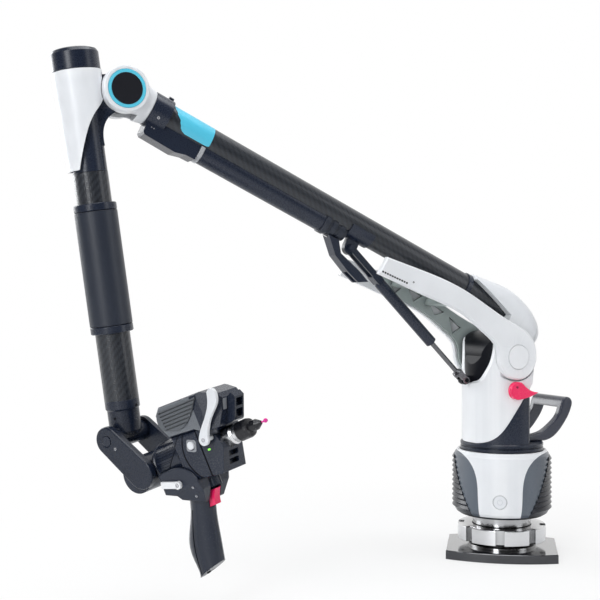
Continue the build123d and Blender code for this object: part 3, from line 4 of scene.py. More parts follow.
import bpy
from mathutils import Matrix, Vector


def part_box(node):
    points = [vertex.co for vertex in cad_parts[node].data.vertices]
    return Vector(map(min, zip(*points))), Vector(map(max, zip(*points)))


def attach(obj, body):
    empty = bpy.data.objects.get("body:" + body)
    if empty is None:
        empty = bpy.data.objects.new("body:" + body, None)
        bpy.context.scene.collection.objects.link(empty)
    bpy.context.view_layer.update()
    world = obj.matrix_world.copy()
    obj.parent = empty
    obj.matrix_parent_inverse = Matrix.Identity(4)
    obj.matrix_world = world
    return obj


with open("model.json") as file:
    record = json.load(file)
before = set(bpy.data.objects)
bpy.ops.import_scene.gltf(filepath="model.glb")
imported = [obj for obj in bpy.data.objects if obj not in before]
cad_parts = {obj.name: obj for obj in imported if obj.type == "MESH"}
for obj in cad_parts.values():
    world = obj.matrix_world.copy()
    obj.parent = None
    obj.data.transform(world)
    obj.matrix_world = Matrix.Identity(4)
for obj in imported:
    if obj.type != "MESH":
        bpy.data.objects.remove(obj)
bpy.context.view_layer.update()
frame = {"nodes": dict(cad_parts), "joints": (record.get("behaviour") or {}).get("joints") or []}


# Base plate: a thick steel plate with two arced edges, sawn and milled, then painted a deep gloss black.
# Four bolts hold it down on a bench or a stand, and the whole arm stands on it.
class Wire:
    """A value on its way through a finish's nodes. Arithmetic on it adds Math nodes."""

    def __init__(self, tree, socket=None):
        self.tree = tree
        self.socket = socket

    def node(self, kind, settings, sockets, out=0):
        """Any other node: its type, its settings, then the values or wires of its sockets."""
        made = self.tree.nodes.new("ShaderNode" + kind)
        for name, value in settings.items():
            setattr(made, name, value)
        for key, value in sockets.items():
            if isinstance(value, Wire):
                self.tree.links.new(value.socket, made.inputs[key])
            else:
                made.inputs[key].default_value = value
        return Wire(self.tree, made.outputs[out])

    def math(self, operation, *values):
        return self.node("Math", {"operation": operation}, dict(enumerate(values)))

    def __add__(self, other):
        return self.math("ADD", self, other)

    def __sub__(self, other):
        return self.math("SUBTRACT", self, other)

    def __rsub__(self, other):
        return self.math("SUBTRACT", other, self)

    def __mul__(self, other):
        return self.math("MULTIPLY", self, other)

    def __truediv__(self, other):
        return self.math("DIVIDE", self, other)

    def __gt__(self, other):
        return self.math("GREATER_THAN", self, other)

    def __lt__(self, other):
        return self.math("LESS_THAN", self, other)

    __radd__ = __add__
    __rmul__ = __mul__

    def within(self, half):
        """1 where the value is nearer to 0 than a half width, and 0 elsewhere."""
        return self.math("ABSOLUTE", self) < half

    def place(self):
        """Where a point lies on the piece, in metres, in the frame that all pieces share."""
        return self.node("TexCoord", {}, {}, "Object")

    def along(self, place, origin, way):
        """Distance of a place from an origin, measured along a direction."""
        offset = self.node("VectorMath", {"operation": "SUBTRACT"}, {0: place, 1: tuple(origin)})
        return self.node("VectorMath", {"operation": "DOT_PRODUCT"}, {0: offset, 1: tuple(way)}, "Value")

    def noise(self, place, scale, detail=2.0):
        return self.node("TexNoise", {}, {"Vector": place, "Scale": scale, "Detail": detail})

    def blend(self, share, first, second):
        """One colour into another by a share from 0 to 1."""
        return self.node("Mix", {"data_type": "RGBA"}, {0: share, 6: first, 7: second}, 2)

    def open_air(self, reach, samples):
        """1 on open faces, and less in grooves and corners that are narrower than a reach."""
        return self.node("AmbientOcclusion", {"samples": samples}, {"Distance": reach}, "AO")

    def relief(self, height, depth, edge):
        """Bumps of a depth in metres, on edges that are rounded over by a radius in metres."""
        rounded = self.node("Bevel", {"samples": 4}, {"Radius": edge})
        return self.node("Bump", {}, {"Height": height, "Distance": depth, "Normal": rounded})


def new_finish(name):
    """An empty finish: the material, a wire to start its nodes from, and its shader."""
    material = bpy.data.materials.new(name)
    material.use_nodes = True
    return material, Wire(material.node_tree), material.node_tree.nodes["Principled BSDF"]


def feed(shader, **sockets):
    """Set the shader's sockets, by value or by wire."""
    for name, value in sockets.items():
        socket = shader.inputs[name.replace("_", " ")]
        if isinstance(value, Wire):
            value.tree.links.new(value.socket, socket)
        else:
            socket.default_value = value


def lay_over(start, share, shader, other):
    """Let another shader take the place of the finish's own by a share from 0 to 1."""
    mixed = start.node("MixShader", {}, {0: share, 1: Wire(start.tree, shader.outputs[0]), 2: other})
    start.tree.links.new(mixed.socket, start.tree.nodes["Material Output"].inputs["Surface"])


def tone(colour, share=1.0):
    """A colour with its alpha, made darker or lighter by a share."""
    return (*[c * share for c in colour], 1)


def dress(material, *nodes):
    """Give a finish to pieces that keep their solid shape."""
    for node in nodes:
        mesh = frame["nodes"][node].data
        mesh.materials.clear()
        mesh.materials.append(material)


mm = 0.001


def satin(name, colour, roughness, grain=1000, depth=0.03 * mm, edge=0.7 * mm, coat=0.0, sheen=0.5,
          seam=None, inlay=None, shade_reach=0.0):
    """Painted or moulded satin surface: a fine even grain, slow shifts of tone, and sharp edges painted
    paler.

    A seam, or an inlay's first member, turns a place into a share from 0 to 1: 1 is in the dark joint,
    or on the inlay's colour. Grooves and corners narrower than a given reach are darkened: painted shade.
    """
    material, start, shader = new_finish(name)
    place = start.place()
    speck = start.noise(place, grain)
    drift = start.noise(place, 14, 3.0)
    # Sharp convex edges are painted a little paler, by the mesh's pointiness.
    edge_pointiness = start.node("NewGeometry", {}, {}, "Pointiness")
    paler_edge_share = start.node("MapRange", {}, {"Value": edge_pointiness, "From Min": 0.52, "From Max": 0.62, "To Max": 0.35})
    pale = (*[min(1, c * 1.4 + 0.012) for c in colour], 1)
    face = start.blend(paler_edge_share, start.blend(drift, tone(colour, 0.86), tone(colour, 1.14)), pale)
    if inlay:
        inlay_mask, inlay_colour = inlay
        face = start.blend(inlay_mask(start, place), face, tone(inlay_colour))
    # Painted shade: grooves and corners narrower than the reach are darkened towards a tenth of the colour.
    if shade_reach:
        face = start.blend(start.open_air(shade_reach, 4), tone(colour, 0.1), face)
    feed(shader, Base_Color=face, Coat_Weight=coat, Coat_Roughness=0.12, Specular_IOR_Level=sheen,
         Roughness=roughness + (speck - 0.5) * 0.16 + (drift - 0.5) * 0.08,
         Normal=start.relief(speck, depth, edge))
    if seam:
        gap = start.node("BsdfDiffuse", {}, {"Color": (0.004, 0.004, 0.006, 1)})
        lay_over(start, seam(start, place), shader, gap)
    return material


black_paint = satin("black_paint", (0.007, 0.008, 0.013), 0.1, grain=900, depth=0.01 * mm, edge=0.6 * mm,
                    coat=1.0)
dress(black_paint, "base_plate")


# Mount flange, clamp ring and bearings: turned stainless steel, with fine rings left by the lathe.
# The ring is milled with grooves for a spanner and polished, and it clamps the base onto the flange.
def turned_steel(name, origin, axis, colour, roughness):
    """Bright metal with fine tool rings about an axis, and painted shade in its grooves and corners."""
    material, start, shader = new_finish(name)
    place = start.place()
    height = start.along(place, origin, axis)
    rings = start.node("TexNoise", {"noise_dimensions": "1D"}, {"W": height, "Scale": 5200.0, "Detail": 2.0})
    smear = start.noise(place, 60, 3.0)
    shade = start.blend(smear, tone(colour, 0.88), tone(colour))
    # Painted shade: grooves and corners are darkened to a quarter of the colour.
    shade = start.blend(start.open_air(20 * mm, 6), tone(colour, 0.25), shade)
    feed(shader, Base_Color=shade, Metallic=1.0, Roughness=roughness + rings * 0.08 + (smear - 0.5) * 0.12,
         Normal=start.relief(rings, 0.02 * mm, 0.6 * mm))
    return material


bright_steel = turned_steel("bright_steel", (0, 0, 0), (0, 0, 1), (0.78, 0.78, 0.79), 0.12)
dress(bright_steel, "mount_flange", "ring_nut", "swivel_bearings")

# Base housing: a dark anodised aluminium core with two white moulded funnel panels fixed over it,
# four blue-grey cheeks between them, and a ribbed black battery pack that slides in on each side.
WHITE_PLASTIC = (0.75, 0.765, 0.79)
BLACK_PLASTIC = (0.0085, 0.0135, 0.028)
white_shell = satin("white_shell", WHITE_PLASTIC, 0.32, grain=1400, edge=0.9 * mm)
black_shell = satin("black_shell", BLACK_PLASTIC, 0.28, depth=0.04 * mm, edge=0.8 * mm, sheen=0.45)
dress(satin("dark_metal", (0.01, 0.0105, 0.014), 0.3, grain=1200), "base_core")
dress(white_shell, "base_front_panel", "base_rear_panel")
dress(satin("cheek_grey", (0.082, 0.098, 0.122), 0.3, grain=1100, depth=0.04 * mm, coat=0.3), "base_cheeks")
# Painted shade darkens the grooves between the pack's ribs.
battery_black = satin("battery_black", (0.011, 0.013, 0.021), 0.3, depth=0.04 * mm, shade_reach=4 * mm)
dress(battery_black, "left_battery", "right_battery")

# Power button: a round white key, moulded and sprung, that sits flush in a hole of the front panel.
# A thin grey ring and a plain on-off mark are printed on it.
joints = {row["name"]: row for row in frame["joints"]}
key_low, key_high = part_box("power_button")
key_middle = (Vector(key_low) + Vector(key_high)) / 2
key_up = Vector((0, 0, 1))
key_right = Vector(joints["power_press"]["axis"]).cross(key_up)
KEY_RIM_RADIUS, KEY_RIM_HALF = 8.4 * mm, 0.25 * mm
MARK_RADIUS, MARK_HALF, MARK_GAP_HALF = 3.4 * mm, 0.35 * mm, 1.1 * mm
BAR_MIDDLE, BAR_HALF = 3 * mm, 1.8 * mm


def printed_key(name):
    """White key with an on-off mark: a broken ring and a bar."""
    material, start, shader = new_finish(name)
    place = start.place()
    right = start.along(place, key_middle, key_right)
    up = start.along(place, key_middle, key_up)
    radius = start.math("SQRT", right * right + up * up)
    rim = (radius - KEY_RIM_RADIUS).within(KEY_RIM_HALF)
    ring = (radius - MARK_RADIUS).within(MARK_HALF) * (1 - right.within(MARK_GAP_HALF) * (up > 0))
    bar = right.within(MARK_HALF) * (up - BAR_MIDDLE).within(BAR_HALF)
    mark = start.math("MINIMUM", rim + ring + bar, 1.0)
    speck = start.noise(place, 1400)
    feed(shader, Base_Color=start.blend(mark, tone(WHITE_PLASTIC), (0.6, 0.62, 0.65, 1)),
         Roughness=0.3 + speck * 0.1, Normal=start.relief(speck, 0.03 * mm, 0.7 * mm))
    return material


dress(printed_key("printed_key"), "power_button")

# Swivel collar and column: a black collar ring turns on the base and carries the column's dark cast core.
# A white moulded shell, a black rear cover and a broad moulded carry handle are fixed to the core.
dress(black_shell, "swivel_collar", "column_rear_cover")
dress(white_shell, "column_shell")
handle_black = satin("handle_black", (0.018, 0.0215, 0.04), 0.24, depth=0.04 * mm, edge=3.5 * mm, coat=0.4)
dress(handle_black, "carry_handle")
# The core and the shoulder axle inside the column's opening are painted a darker, duller black than the
# base's core: painted shade.
shaded_hub_black = satin("shaded_hub_black", (0.004, 0.0046, 0.0075), 0.36, grain=1200, edge=1.2 * mm, sheen=0.12)
dress(shaded_hub_black, "column_core", "shoulder_axle")

# Lock lever: a glossy pink-red moulded lever on the near side of the column, which locks the arm's swing.
# It turns on a pivot in the column, and a dark socket screw shows in its boss.
lever_red = satin("lever_red", (0.88, 0.014, 0.11), 0.26, grain=1300, edge=1.4 * mm, coat=0.15, sheen=0.4)
dress(lever_red, "lock_lever")
socket_black = satin("socket_black", (0.004, 0.004, 0.006), 0.5, grain=1500, depth=0.02 * mm, edge=0.3 * mm,
                     sheen=0.15)
near = Vector((0, -1, 0))


def link_mesh(name, verts, faces, finish, body):
    """A new piece from corners and faces in the shared frame, dressed and riding on a body."""
    mesh = bpy.data.meshes.new(name)
    mesh.from_pydata([tuple(v) for v in verts], [], faces)
    mesh.materials.append(finish)
    piece = bpy.data.objects.new(name, mesh)
    bpy.context.scene.collection.objects.link(piece)
    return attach(piece, body)


def skin(rings, points, closed=True):
    """Faces between rings of points that follow each other; a closed ring joins up with itself."""
    faces = []
    for first in range(0, (rings - 1) * points, points):
        for n in range(points if closed else points - 1):
            beside = (n + 1) % points
            faces.append((first + n, first + beside, first + points + beside, first + points + n))
    return faces


def socket_screw(name, at, out, radius, finish, body):
    """A low round screw head with a hexagon socket, standing on a face at a point."""
    out = Vector(out).normalized()
    across = out.orthogonal().normalized()
    beside = out.cross(across)
    points = 24
    rings = ((1, -0.3, False), (1, 0.25, False), (0.88, 0.4, False), (0.58, 0.4, True), (0.58, -0.1, True))
    verts = []
    for share, height, hexagon in rings:
        for n in range(points):
            angle = 2 * pi * n / points
            flat = cos(pi / 6) / cos(angle % (pi / 3) - pi / 6) if hexagon else 1
            ray = across * cos(angle) + beside * sin(angle)
            verts.append(Vector(at) + ray * radius * share * flat + out * radius * height)
    socket_floor = tuple(range(len(verts) - points, len(verts)))
    return link_mesh(name, verts, [*skin(len(rings), points), socket_floor], finish, body)


lever_at = Vector(joints["lock_lever_turn"]["pos_m"])
lever_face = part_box("lock_lever")[0][1]
socket_screw("lock_lever_screw", (lever_at.x - 3 * mm, lever_face, lever_at.z + 5 * mm), near, 1.4 * mm,
             socket_black, "lock_lever")

# Fork of the upper arm: two white moulded covers and a white hood over a ribbed casting, painted grey-green.
# A flush cap hides each end of the shoulder axle, and a row of vent slots runs along the near cover.
dress(white_shell, "fork_near_cover", "fork_far_cover", "pivot_caps", "arm_rear_cap")
# Painted shade darkens the casting's ribs, recesses and corners.
casting_grey = satin("casting_grey", (0.34, 0.39, 0.38), 0.36, grain=420, depth=0.12 * mm, shade_reach=10 * mm)
dress(casting_grey, "fork_casting")
dress(bright_steel, "arm_bearings")
fork_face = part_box("fork_near_cover")[0][1]
socket_screw("fork_cover_screw", (-178.5 * mm, fork_face, 376.2 * mm), near, 1.2 * mm, socket_black,
             "upper_arm")
VENTS, VENT_POINTS = 11, 16
VENT_PROUD, VENT_DEPTH = 0.1 * mm, 0.3 * mm
VENT_STRAIGHT, VENT_CORNER = (0.9 * mm, 0.8 * mm), 0.4 * mm
first_vent = Vector((-223.5 * mm, fork_face - VENT_PROUD, 389.3 * mm))
last_vent = Vector((-188.5 * mm, fork_face - VENT_PROUD, 375.2 * mm))
slot_way, slot_up = Vector((0.8, 0, -0.6)), Vector((0.6, 0, 0.8))


def rounded_outline(straight, corner, points):
    """A rectangle with rounded corners, from its straight half-lengths and its corners' radius."""
    outline = []
    for n in range(points):
        angle = 2 * pi * (n + 0.5) / points
        ways = (cos(angle), sin(angle))
        outline.append([copysign(half, way) + corner * way for half, way in zip(straight, ways)])
    return outline


# Each vent is drawn as a thin black plug a hair proud of the cover, and its black is painted shade in place
# of an open slot.
for n in range(VENTS):
    centre = first_vent.lerp(last_vent, n / (VENTS - 1))
    rim = [centre - near * depth + slot_way * x + slot_up * y for depth in (VENT_DEPTH, 0)
           for x, y in rounded_outline(VENT_STRAIGHT, VENT_CORNER, VENT_POINTS)]
    slot_shade_face = tuple(range(VENT_POINTS, 2 * VENT_POINTS))
    link_mesh(f"fork_vent_shade_{n}", rim, [*skin(2, VENT_POINTS), slot_shade_face], socket_black, "upper_arm")

# Carbon tubes of the upper arm and the forearm: twill cloth wound on a mandrel with resin, cured and ground.
# A thin clear coat lies over the weave, and the ends are bonded into their fittings.
elbow_at = Vector(joints["elbow_bend"]["pos_m"])
tube_way = Vector(joints["elbow_roll"]["axis"])
tube_up = Vector((-tube_way.z, 0, tube_way.x))
tube_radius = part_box("main_tube")[1][1]
fore_at = Vector(joints["forearm_roll"]["pos_m"])
fore_way = Vector(joints["forearm_roll"]["axis"])
fore_in = Vector((-fore_way.z, 0, fore_way.x))
fore_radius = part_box("forearm_tube")[1][1]
BUNDLE = 2.1 * mm


def carbon(name, origin, way, up, radius):
    """Two-by-two twill about a tube's axis: bundles pass over two and under two, a step further each row."""
    material, start, shader = new_finish(name)
    place = start.place()
    far = start.along(place, origin, (0, 1, 0))
    high = start.along(place, origin, up)
    turn = start.math("ARCTAN2", far, high) * (radius / BUNDLE)
    run = start.along(place, origin, way) / BUNDLE
    step = start.math("FLOOR", turn) + start.math("FLOOR", run)
    over = start.math("MODULO", step + 4000, 4.0) < 1.5
    across = start.math("PINGPONG", turn, 0.5) * 2
    length = start.math("PINGPONG", run, 0.5) * 2
    crown = over * across + (1 - over) * length
    feed(shader, Base_Color=start.blend(over, (0.008, 0.0105, 0.016, 1), (0.016, 0.02, 0.028, 1)),
         Roughness=0.32 + over * 0.1, Coat_Weight=0.35, Coat_Roughness=0.2,
         Normal=start.relief(crown, 0.12 * mm, 0.6 * mm))
    return material


dress(carbon("arm_carbon", elbow_at, tube_way, tube_up, tube_radius), "main_tube")
dress(carbon("forearm_carbon", fore_at, fore_way, fore_in, fore_radius), "forearm_tube")

# Tube label: a bare cyan film, cut with a swept left edge and rounded lower corners.
# It is stuck round the near side of the upper tube, beside the elbow's collar.
LABEL_LEFT = ((0, 62.5), (45, 64.5), (66, 69), (90, 75.5), (110, 79), (119, 82), (125, 87))
LABEL_RIGHT, LABEL_CORNER, LABEL_CORNER_FROM = 120.5, 3, 119
LABEL_ROWS, LABEL_COLUMNS = 40, 24
LABEL_FILM = 0.1 * mm
label_end = LABEL_LEFT[-1][0]
label_radius = tube_radius / mm + 0.15


def on_tube(along, above, aside):
    """A point by the upper tube, in mm along and above the tube's axis and to the near side."""
    return elbow_at + (tube_way * along + tube_up * above + near * aside) * mm


def label_left(angle):
    """Where the label starts along the tube, in mm, at an angle round from the top."""
    for (before, low), (after, high) in zip(LABEL_LEFT, LABEL_LEFT[1:]):
        if angle <= after:
            share = (angle - before) / (after - before)
            return low + (high - low) * share * share * (3 - 2 * share)


label_verts = []
for row in range(LABEL_ROWS + 1):
    angle = label_end * row / LABEL_ROWS
    corner = max(0, angle - LABEL_CORNER_FROM) / (label_end - LABEL_CORNER_FROM)
    left = label_left(angle)
    right = LABEL_RIGHT - LABEL_CORNER * (1 - (1 - corner ** 2) ** 0.5)
    above, aside = label_radius * cos(radians(angle)), label_radius * sin(radians(angle))
    for column in range(LABEL_COLUMNS + 1):
        label_verts.append(on_tube(left + (right - left) * column / LABEL_COLUMNS, above, aside))
label_cyan = satin("label_cyan", (0.085, 0.53, 0.72), 0.3, grain=1500, depth=0.02 * mm)
tube_label = link_mesh("tube_label", label_verts, skin(LABEL_ROWS + 1, LABEL_COLUMNS + 1, closed=False),
                       label_cyan, "upper_arm")
tube_label.modifiers.new("film", "SOLIDIFY").thickness = LABEL_FILM

# Cable channel and fittings on the tube: a moulded black channel with a ribbed rubber boot and a grey band,
# a clamp block and a collar held by steel screws, the gas spring's bracket, a dock hook and a thin clip ring.
dress(black_shell, "under_tube", "tube_clip_ring", "spring_bracket", "dock_hook")
dress(black_shell, "collar_block", "elbow_collar")
soft_rubber = satin("soft_rubber", (0.0115, 0.016, 0.028), 0.4, grain=1600, depth=0.08 * mm, edge=1.2 * mm,
                    sheen=0.45)
dress(soft_rubber, "under_tube_boot")
screw_steel = satin("screw_steel", (0.42, 0.42, 0.44), 0.25, grain=1500, depth=0.02 * mm, edge=0.3 * mm)
socket_screw("collar_screw", on_tube(49.36, -9.95, 19.6), near * 0.9 - tube_up * 0.44, 1.7 * mm, screw_steel,
             "upper_arm")
for n, run in enumerate((48, 51.3)):
    socket_screw(f"block_screw_{n}", on_tube(run, -22.3, 13), near, 0.8 * mm, screw_steel, "upper_arm")
CHANNEL_DROP = 16
BAND_RINGS = ((112.5, 14.9), (113, 15.4), (117.5, 15.4), (118, 14.9))
BAND_REACH, BAND_POINTS = 104, 41
band_verts = []
for run, lift in BAND_RINGS:
    for n in range(BAND_POINTS):
        angle = radians(BAND_REACH * (1 - 2 * n / (BAND_POINTS - 1)))
        band_verts.append(on_tube(run, -CHANNEL_DROP - lift * cos(angle), lift * sin(angle)))
band_grey = satin("band_grey", (0.36, 0.37, 0.39), 0.35, grain=1300)
link_mesh("channel_band", band_verts, skin(len(BAND_RINGS), BAND_POINTS, closed=False), band_grey,
          "upper_arm")

# Gas spring: a black painted cylinder that slides on a dark ground steel rod and carries part of the arm's
# weight. The rod's eye is pinned to the column, and the cylinder's straps are pinned to the tube's bracket.
dress(black_shell, "gas_cylinder")
ground_rod = turned_steel("ground_rod", joints["gas_rod_hinge"]["pos_m"], joints["gas_slide"]["axis"],
                          (0.17, 0.17, 0.18), 0.2)
dress(ground_rod, "gas_rod")

# Elbow: a white moulded fork that rolls at the tube's end, with a cyan ring and a black disc let into it.
# A steel axle through the fork carries the black knuckle and the white cone of the forearm.
DISC_RADIUS = 18.6 * mm
dress(white_shell, "elbow_housing", "forearm_cone")
dress(bright_steel, "elbow_axle")
dress(black_shell, "elbow_knuckle", "forearm_cap", "forearm_inner_tube")


def ringed_disc(name):
    """Black disc inside a cyan ring, both bare."""
    material, start, shader = new_finish(name)
    place = start.place()
    side = start.along(place, elbow_at, (1, 0, 0))
    high = start.along(place, elbow_at, (0, 0, 1))
    radius = start.math("SQRT", side * side + high * high)
    speck = start.noise(place, 1300)
    shade = start.blend(radius < DISC_RADIUS, (0.1, 0.56, 0.74, 1), (0.008, 0.0085, 0.013, 1))
    feed(shader, Base_Color=shade, Roughness=0.3 + speck * 0.12,
         Normal=start.relief(speck, 0.03 * mm, 0.5 * mm))
    return material


dress(ringed_disc("ringed_disc"), "elbow_badge")

# Forearm: a carbon tube that rolls in the cone, with a free-turning soft sleeve between two moulded collars.
# The black wrist knuckle's ferrule is clamped on the tube's end with two dark screws.
dress(black_shell, "sleeve_collars", "wrist_knuckle")
dress(soft_rubber, "grip_sleeve")
for n, (run, radius, turn) in enumerate(((378.3, 18.8, 140.9), (366, 20.3, 54.8))):
    ray = fore_in * cos(radians(turn)) + near * sin(radians(turn))
    socket_screw(f"ferrule_screw_{n}", fore_at + (fore_way * run + ray * radius) * mm, ray, 1.6 * mm,
                 socket_black, "forearm")

# Wrist yoke: a black casting that bends on the forearm's knuckle, on two pins.
# The probe head's barrel turns in it on a spigot, and a steel screw shows in its near arm.
head_at = Vector(joints["probe_roll"]["pos_m"])
head_way = Vector(joints["probe_roll"]["axis"])
head_far = Vector(joints["button_press"]["axis"])
head_up = head_way.cross(head_far)


def on_head(along, above, aside):
    """A point on the probe head, in mm along and above the probe's axis and to the near side."""
    return head_at + (head_way * along + head_up * above - head_far * aside) * mm


dress(black_shell, "wrist_yoke", "wrist_pins")
socket_screw("yoke_screw", on_head(-8.7, 37.7, 35), -head_far, 1.7 * mm, screw_steel, "wrist")

# Probe head's barrel and body: black mouldings in several shells, with a ribbed cover over the barrel.
# A white button sits in a bevelled grey plate on the near side, with a green lamp in front of it.
FRONT_JOINT = 103.2 * mm
SWEPT_JOINT, SWEPT_BELOW, SWEPT_BEND = 77.2 * mm, 2 * mm, 15
COVER_EDGE, COVER_SLANT = 55 * mm, 1.055
COVER_RADIUS, COVER_POINTS = 24.1, 120
COVER_RINGS = ((31.8, 23.3), (32.1, 23.9), *[(along, COVER_RADIUS) for along in (32.6, 33.1, 66)])
RIB_PITCH, RIB_HALF, RIB_SHORT = 3.4 * mm, 0.22 * mm, 1.5 * mm


def dark_joint(distance, half):
    """Share of a dark joint at a distance from its middle, soft at its two edges."""
    inside = 2 - distance.math("ABSOLUTE", distance) / half
    return inside.math("MINIMUM", inside.math("MAXIMUM", inside, 0.0), 1.0)


def past_cover(start, place):
    """How far a place lies ahead of the slanted edge of the barrel's cover."""
    high = start.along(place, head_at, head_up)
    return start.along(place, head_at, head_way) - high * COVER_SLANT - COVER_EDGE


def head_seam(start, place):
    """Joints of the head's body: one in front of its button, one swept behind it, and the cover's edge."""
    ahead = start.along(place, head_at, head_way)
    lifted = start.along(place, head_at, head_up) + SWEPT_BELOW
    front = dark_joint(ahead - FRONT_JOINT, 0.5 * mm)
    swept = dark_joint(ahead - lifted * lifted * SWEPT_BEND - SWEPT_JOINT, 0.55 * mm)
    edge = dark_joint(past_cover(start, place), 0.5 * mm)
    return start.math("MAXIMUM", front, start.math("MAXIMUM", swept, edge))


def cover_seam(start, place):
    """Fine ribs along the barrel's cover, up to its slanted edge, and the joint at that edge."""
    high = start.along(place, head_at, head_up)
    far = start.along(place, head_at, head_far)
    past = past_cover(start, place)
    turn = start.math("ARCTAN2", high, far) * (COVER_RADIUS * mm)
    ribs = dark_joint(start.math("PINGPONG", turn, RIB_PITCH / 2), RIB_HALF) * (past < -RIB_SHORT) * 0.7
    return start.math("MAXIMUM", ribs, dark_joint(past, 0.5 * mm))


dress(black_shell, "head_barrel")
head_black = satin("head_black", BLACK_PLASTIC, 0.26, depth=0.04 * mm, edge=1.2 * mm, seam=head_seam)
dress(head_black, "head_body")
cover_black = satin("cover_black", BLACK_PLASTIC, 0.26, depth=0.04 * mm, edge=1.2 * mm, seam=cover_seam)
cover_verts = []
for along, radius in COVER_RINGS:
    for n in range(COVER_POINTS):
        angle = -2 * pi * n / COVER_POINTS
        cover_verts.append(on_head(along, radius * sin(angle), radius * cos(angle)))
barrel_cover = link_mesh("barrel_cover", cover_verts, skin(len(COVER_RINGS), COVER_POINTS), cover_black,
                         "probe_head")
barrel_cover.data.shade_smooth()


def rounded_pad(name, centre, right, up, half, corner, finish, hole=0, height=0.4 * mm):
    """A low plate on the probe head with rounded corners and a softened rim; it may have a round hole."""
    right, up = right.normalized(), up.normalized()
    out = right.cross(up)
    points = 48
    straight = [side - corner for side in half]
    rings = [(straight, corner, -0.3), (straight, corner, 0.7), (straight, corner - 0.25 * height, 1)]
    if hole:
        rings += [((0, 0), hole, 1), ((0, 0), hole, -0.3)]
    verts = [centre + right * x + up * y + out * height * lift
             for sides, turn, lift in rings for x, y in rounded_outline(sides, turn, points)]
    faces = skin(len(rings), points)
    if not hole:
        faces.append(tuple(range(len(verts) - points, len(verts))))
    return link_mesh(name, verts, faces, finish, "probe_head")


dress(white_shell, "head_button")
plate_grey = satin("plate_grey", (0.24, 0.25, 0.27), 0.3, grain=1300)
rounded_pad("button_plate", on_head(91.8, 6.2, 26), head_way * 0.92 - head_up * 0.39,
            head_way * 0.39 + head_up * 0.92, (6.8 * mm, 6.8 * mm), 3.2 * mm, plate_grey, hole=5.2 * mm)


def lit_lens(name, colour, level):
    """Small clear lamp lens with its own light behind it, a little cloudy."""
    material, start, shader = new_finish(name)
    cloud = start.noise(start.place(), 900)
    feed(shader, Base_Color=start.blend(cloud, tone(colour, 0.6), tone(colour)), Roughness=0.2 + cloud * 0.1,
         Emission_Color=start.blend(cloud, tone(colour, 0.8), tone(colour)), Emission_Strength=level)
    return material


led_green = lit_lens("led_green", (0.25, 0.9, 0.08), 0.8)
rounded_pad("status_led", on_head(110.7, -5.1, 22.5), head_way * 0.95 + head_far * 0.31, head_up,
            (1.6 * mm, 1.1 * mm), 0.8 * mm, led_green)

# Pistol grip: a black moulded front shell and back strap, screwed together, with a saddle under the head.
# It has a red trigger in front, a white lever and a knurled knob at its saddle, and a hole in its foot.
GRIP_JOINT, GRIP_SLOPE, GRIP_BEND = 86.8 * mm, 0.8257, 2.65
GRIP_JOINT_FROM = 60 * mm


def grip_seam(start, place):
    """Joint between the grip's front shell and its back strap, which follows the bend of the grip."""
    ahead = start.along(place, head_at, head_way)
    below = start.along(place, head_at, head_up) * -1
    bend = GRIP_JOINT - below * GRIP_SLOPE + below * below * GRIP_BEND
    return dark_joint(ahead - bend, 0.6 * mm) * (below > GRIP_JOINT_FROM)


grip_black = satin("grip_black", BLACK_PLASTIC, 0.24, depth=0.04 * mm, edge=2.5 * mm, seam=grip_seam)
dress(grip_black, "pistol_grip")
dress(black_shell, "grip_knob")
dress(lever_red, "trigger")
dress(white_shell, "grip_lever")
socket_screw("grip_lever_screw", on_head(57, -28, 32.9), -head_far, 2.4 * mm, screw_steel, "grip_lever")
for n, spot in enumerate((on_head(72, -36.6, 26.8), on_head(67.8, -47.2, 21.7))):
    socket_screw(f"grip_screw_{n}", spot, -head_far * 0.9 - head_up * 0.43, 1.4 * mm, screw_steel,
                 "probe_head")
# The hole in the grip's foot is drawn as a low black plug, and its black is painted shade in place of an open
# hole.
socket_screw("grip_strap_hole_shade", on_head(24, -132.2, 0), head_way * 0.265 - head_up * 0.964, 2.6 * mm,
             socket_black, "probe_head")

# Scanner: a black housing on top of the head with grey moulded sides and a ribbed grey panel let into each.
# Cameras look out of its front between two small grey panels, and a white lever clamps it to the head.
SIDE_FROM, SIDE_END = 26.2 * mm, 114 * mm


def scanner_side(start, place):
    """Grey moulding on each side of the scanner, from its rear end to the lever."""
    aside = start.along(place, head_at, head_far)
    return (aside.math("ABSOLUTE", aside) > SIDE_FROM) * (start.along(place, head_at, head_way) < SIDE_END)


scanner_black = satin("scanner_black", BLACK_PLASTIC, 0.28, depth=0.04 * mm, edge=1 * mm,
                      inlay=(scanner_side, (0.14, 0.152, 0.17)))
dress(scanner_black, "scanner_housing")
dress(black_shell, "scanner_cameras")
# Painted shade darkens the grooves of the ribbed panels.
panel_grey = satin("panel_grey", (0.08, 0.088, 0.1), 0.34, grain=1100, depth=0.05 * mm, shade_reach=3 * mm)
dress(panel_grey, "scanner_side_panels")
dress(white_shell, "scanner_lever")
socket_screw("scanner_lever_screw", on_head(116.8, 6.3, 33.6), -head_far, 2.2 * mm, screw_steel,
             "scanner_lever")
for name, aside in (("front_panel_near", 13.1), ("front_panel_far", -13.1)):
    rounded_pad(name, on_head(147.2, 34.2, aside), head_far, head_way * 6 + head_up * 13.5,
                (3.4 * mm, 6.2 * mm), 1 * mm, plate_grey)

# Touch probe: a black probe screwed by its bright foot into a turned steel holder at the head's front.
# A pink ball, ground from ruby, sits on the tip of its stylus.
PROBE_FOOT_END, PROBE_BALL_FROM = 142.5 * mm, 174.5 * mm
dress(turned_steel("holder_steel", head_at, head_way, (0.8, 0.8, 0.81), 0.18), "probe_holder")


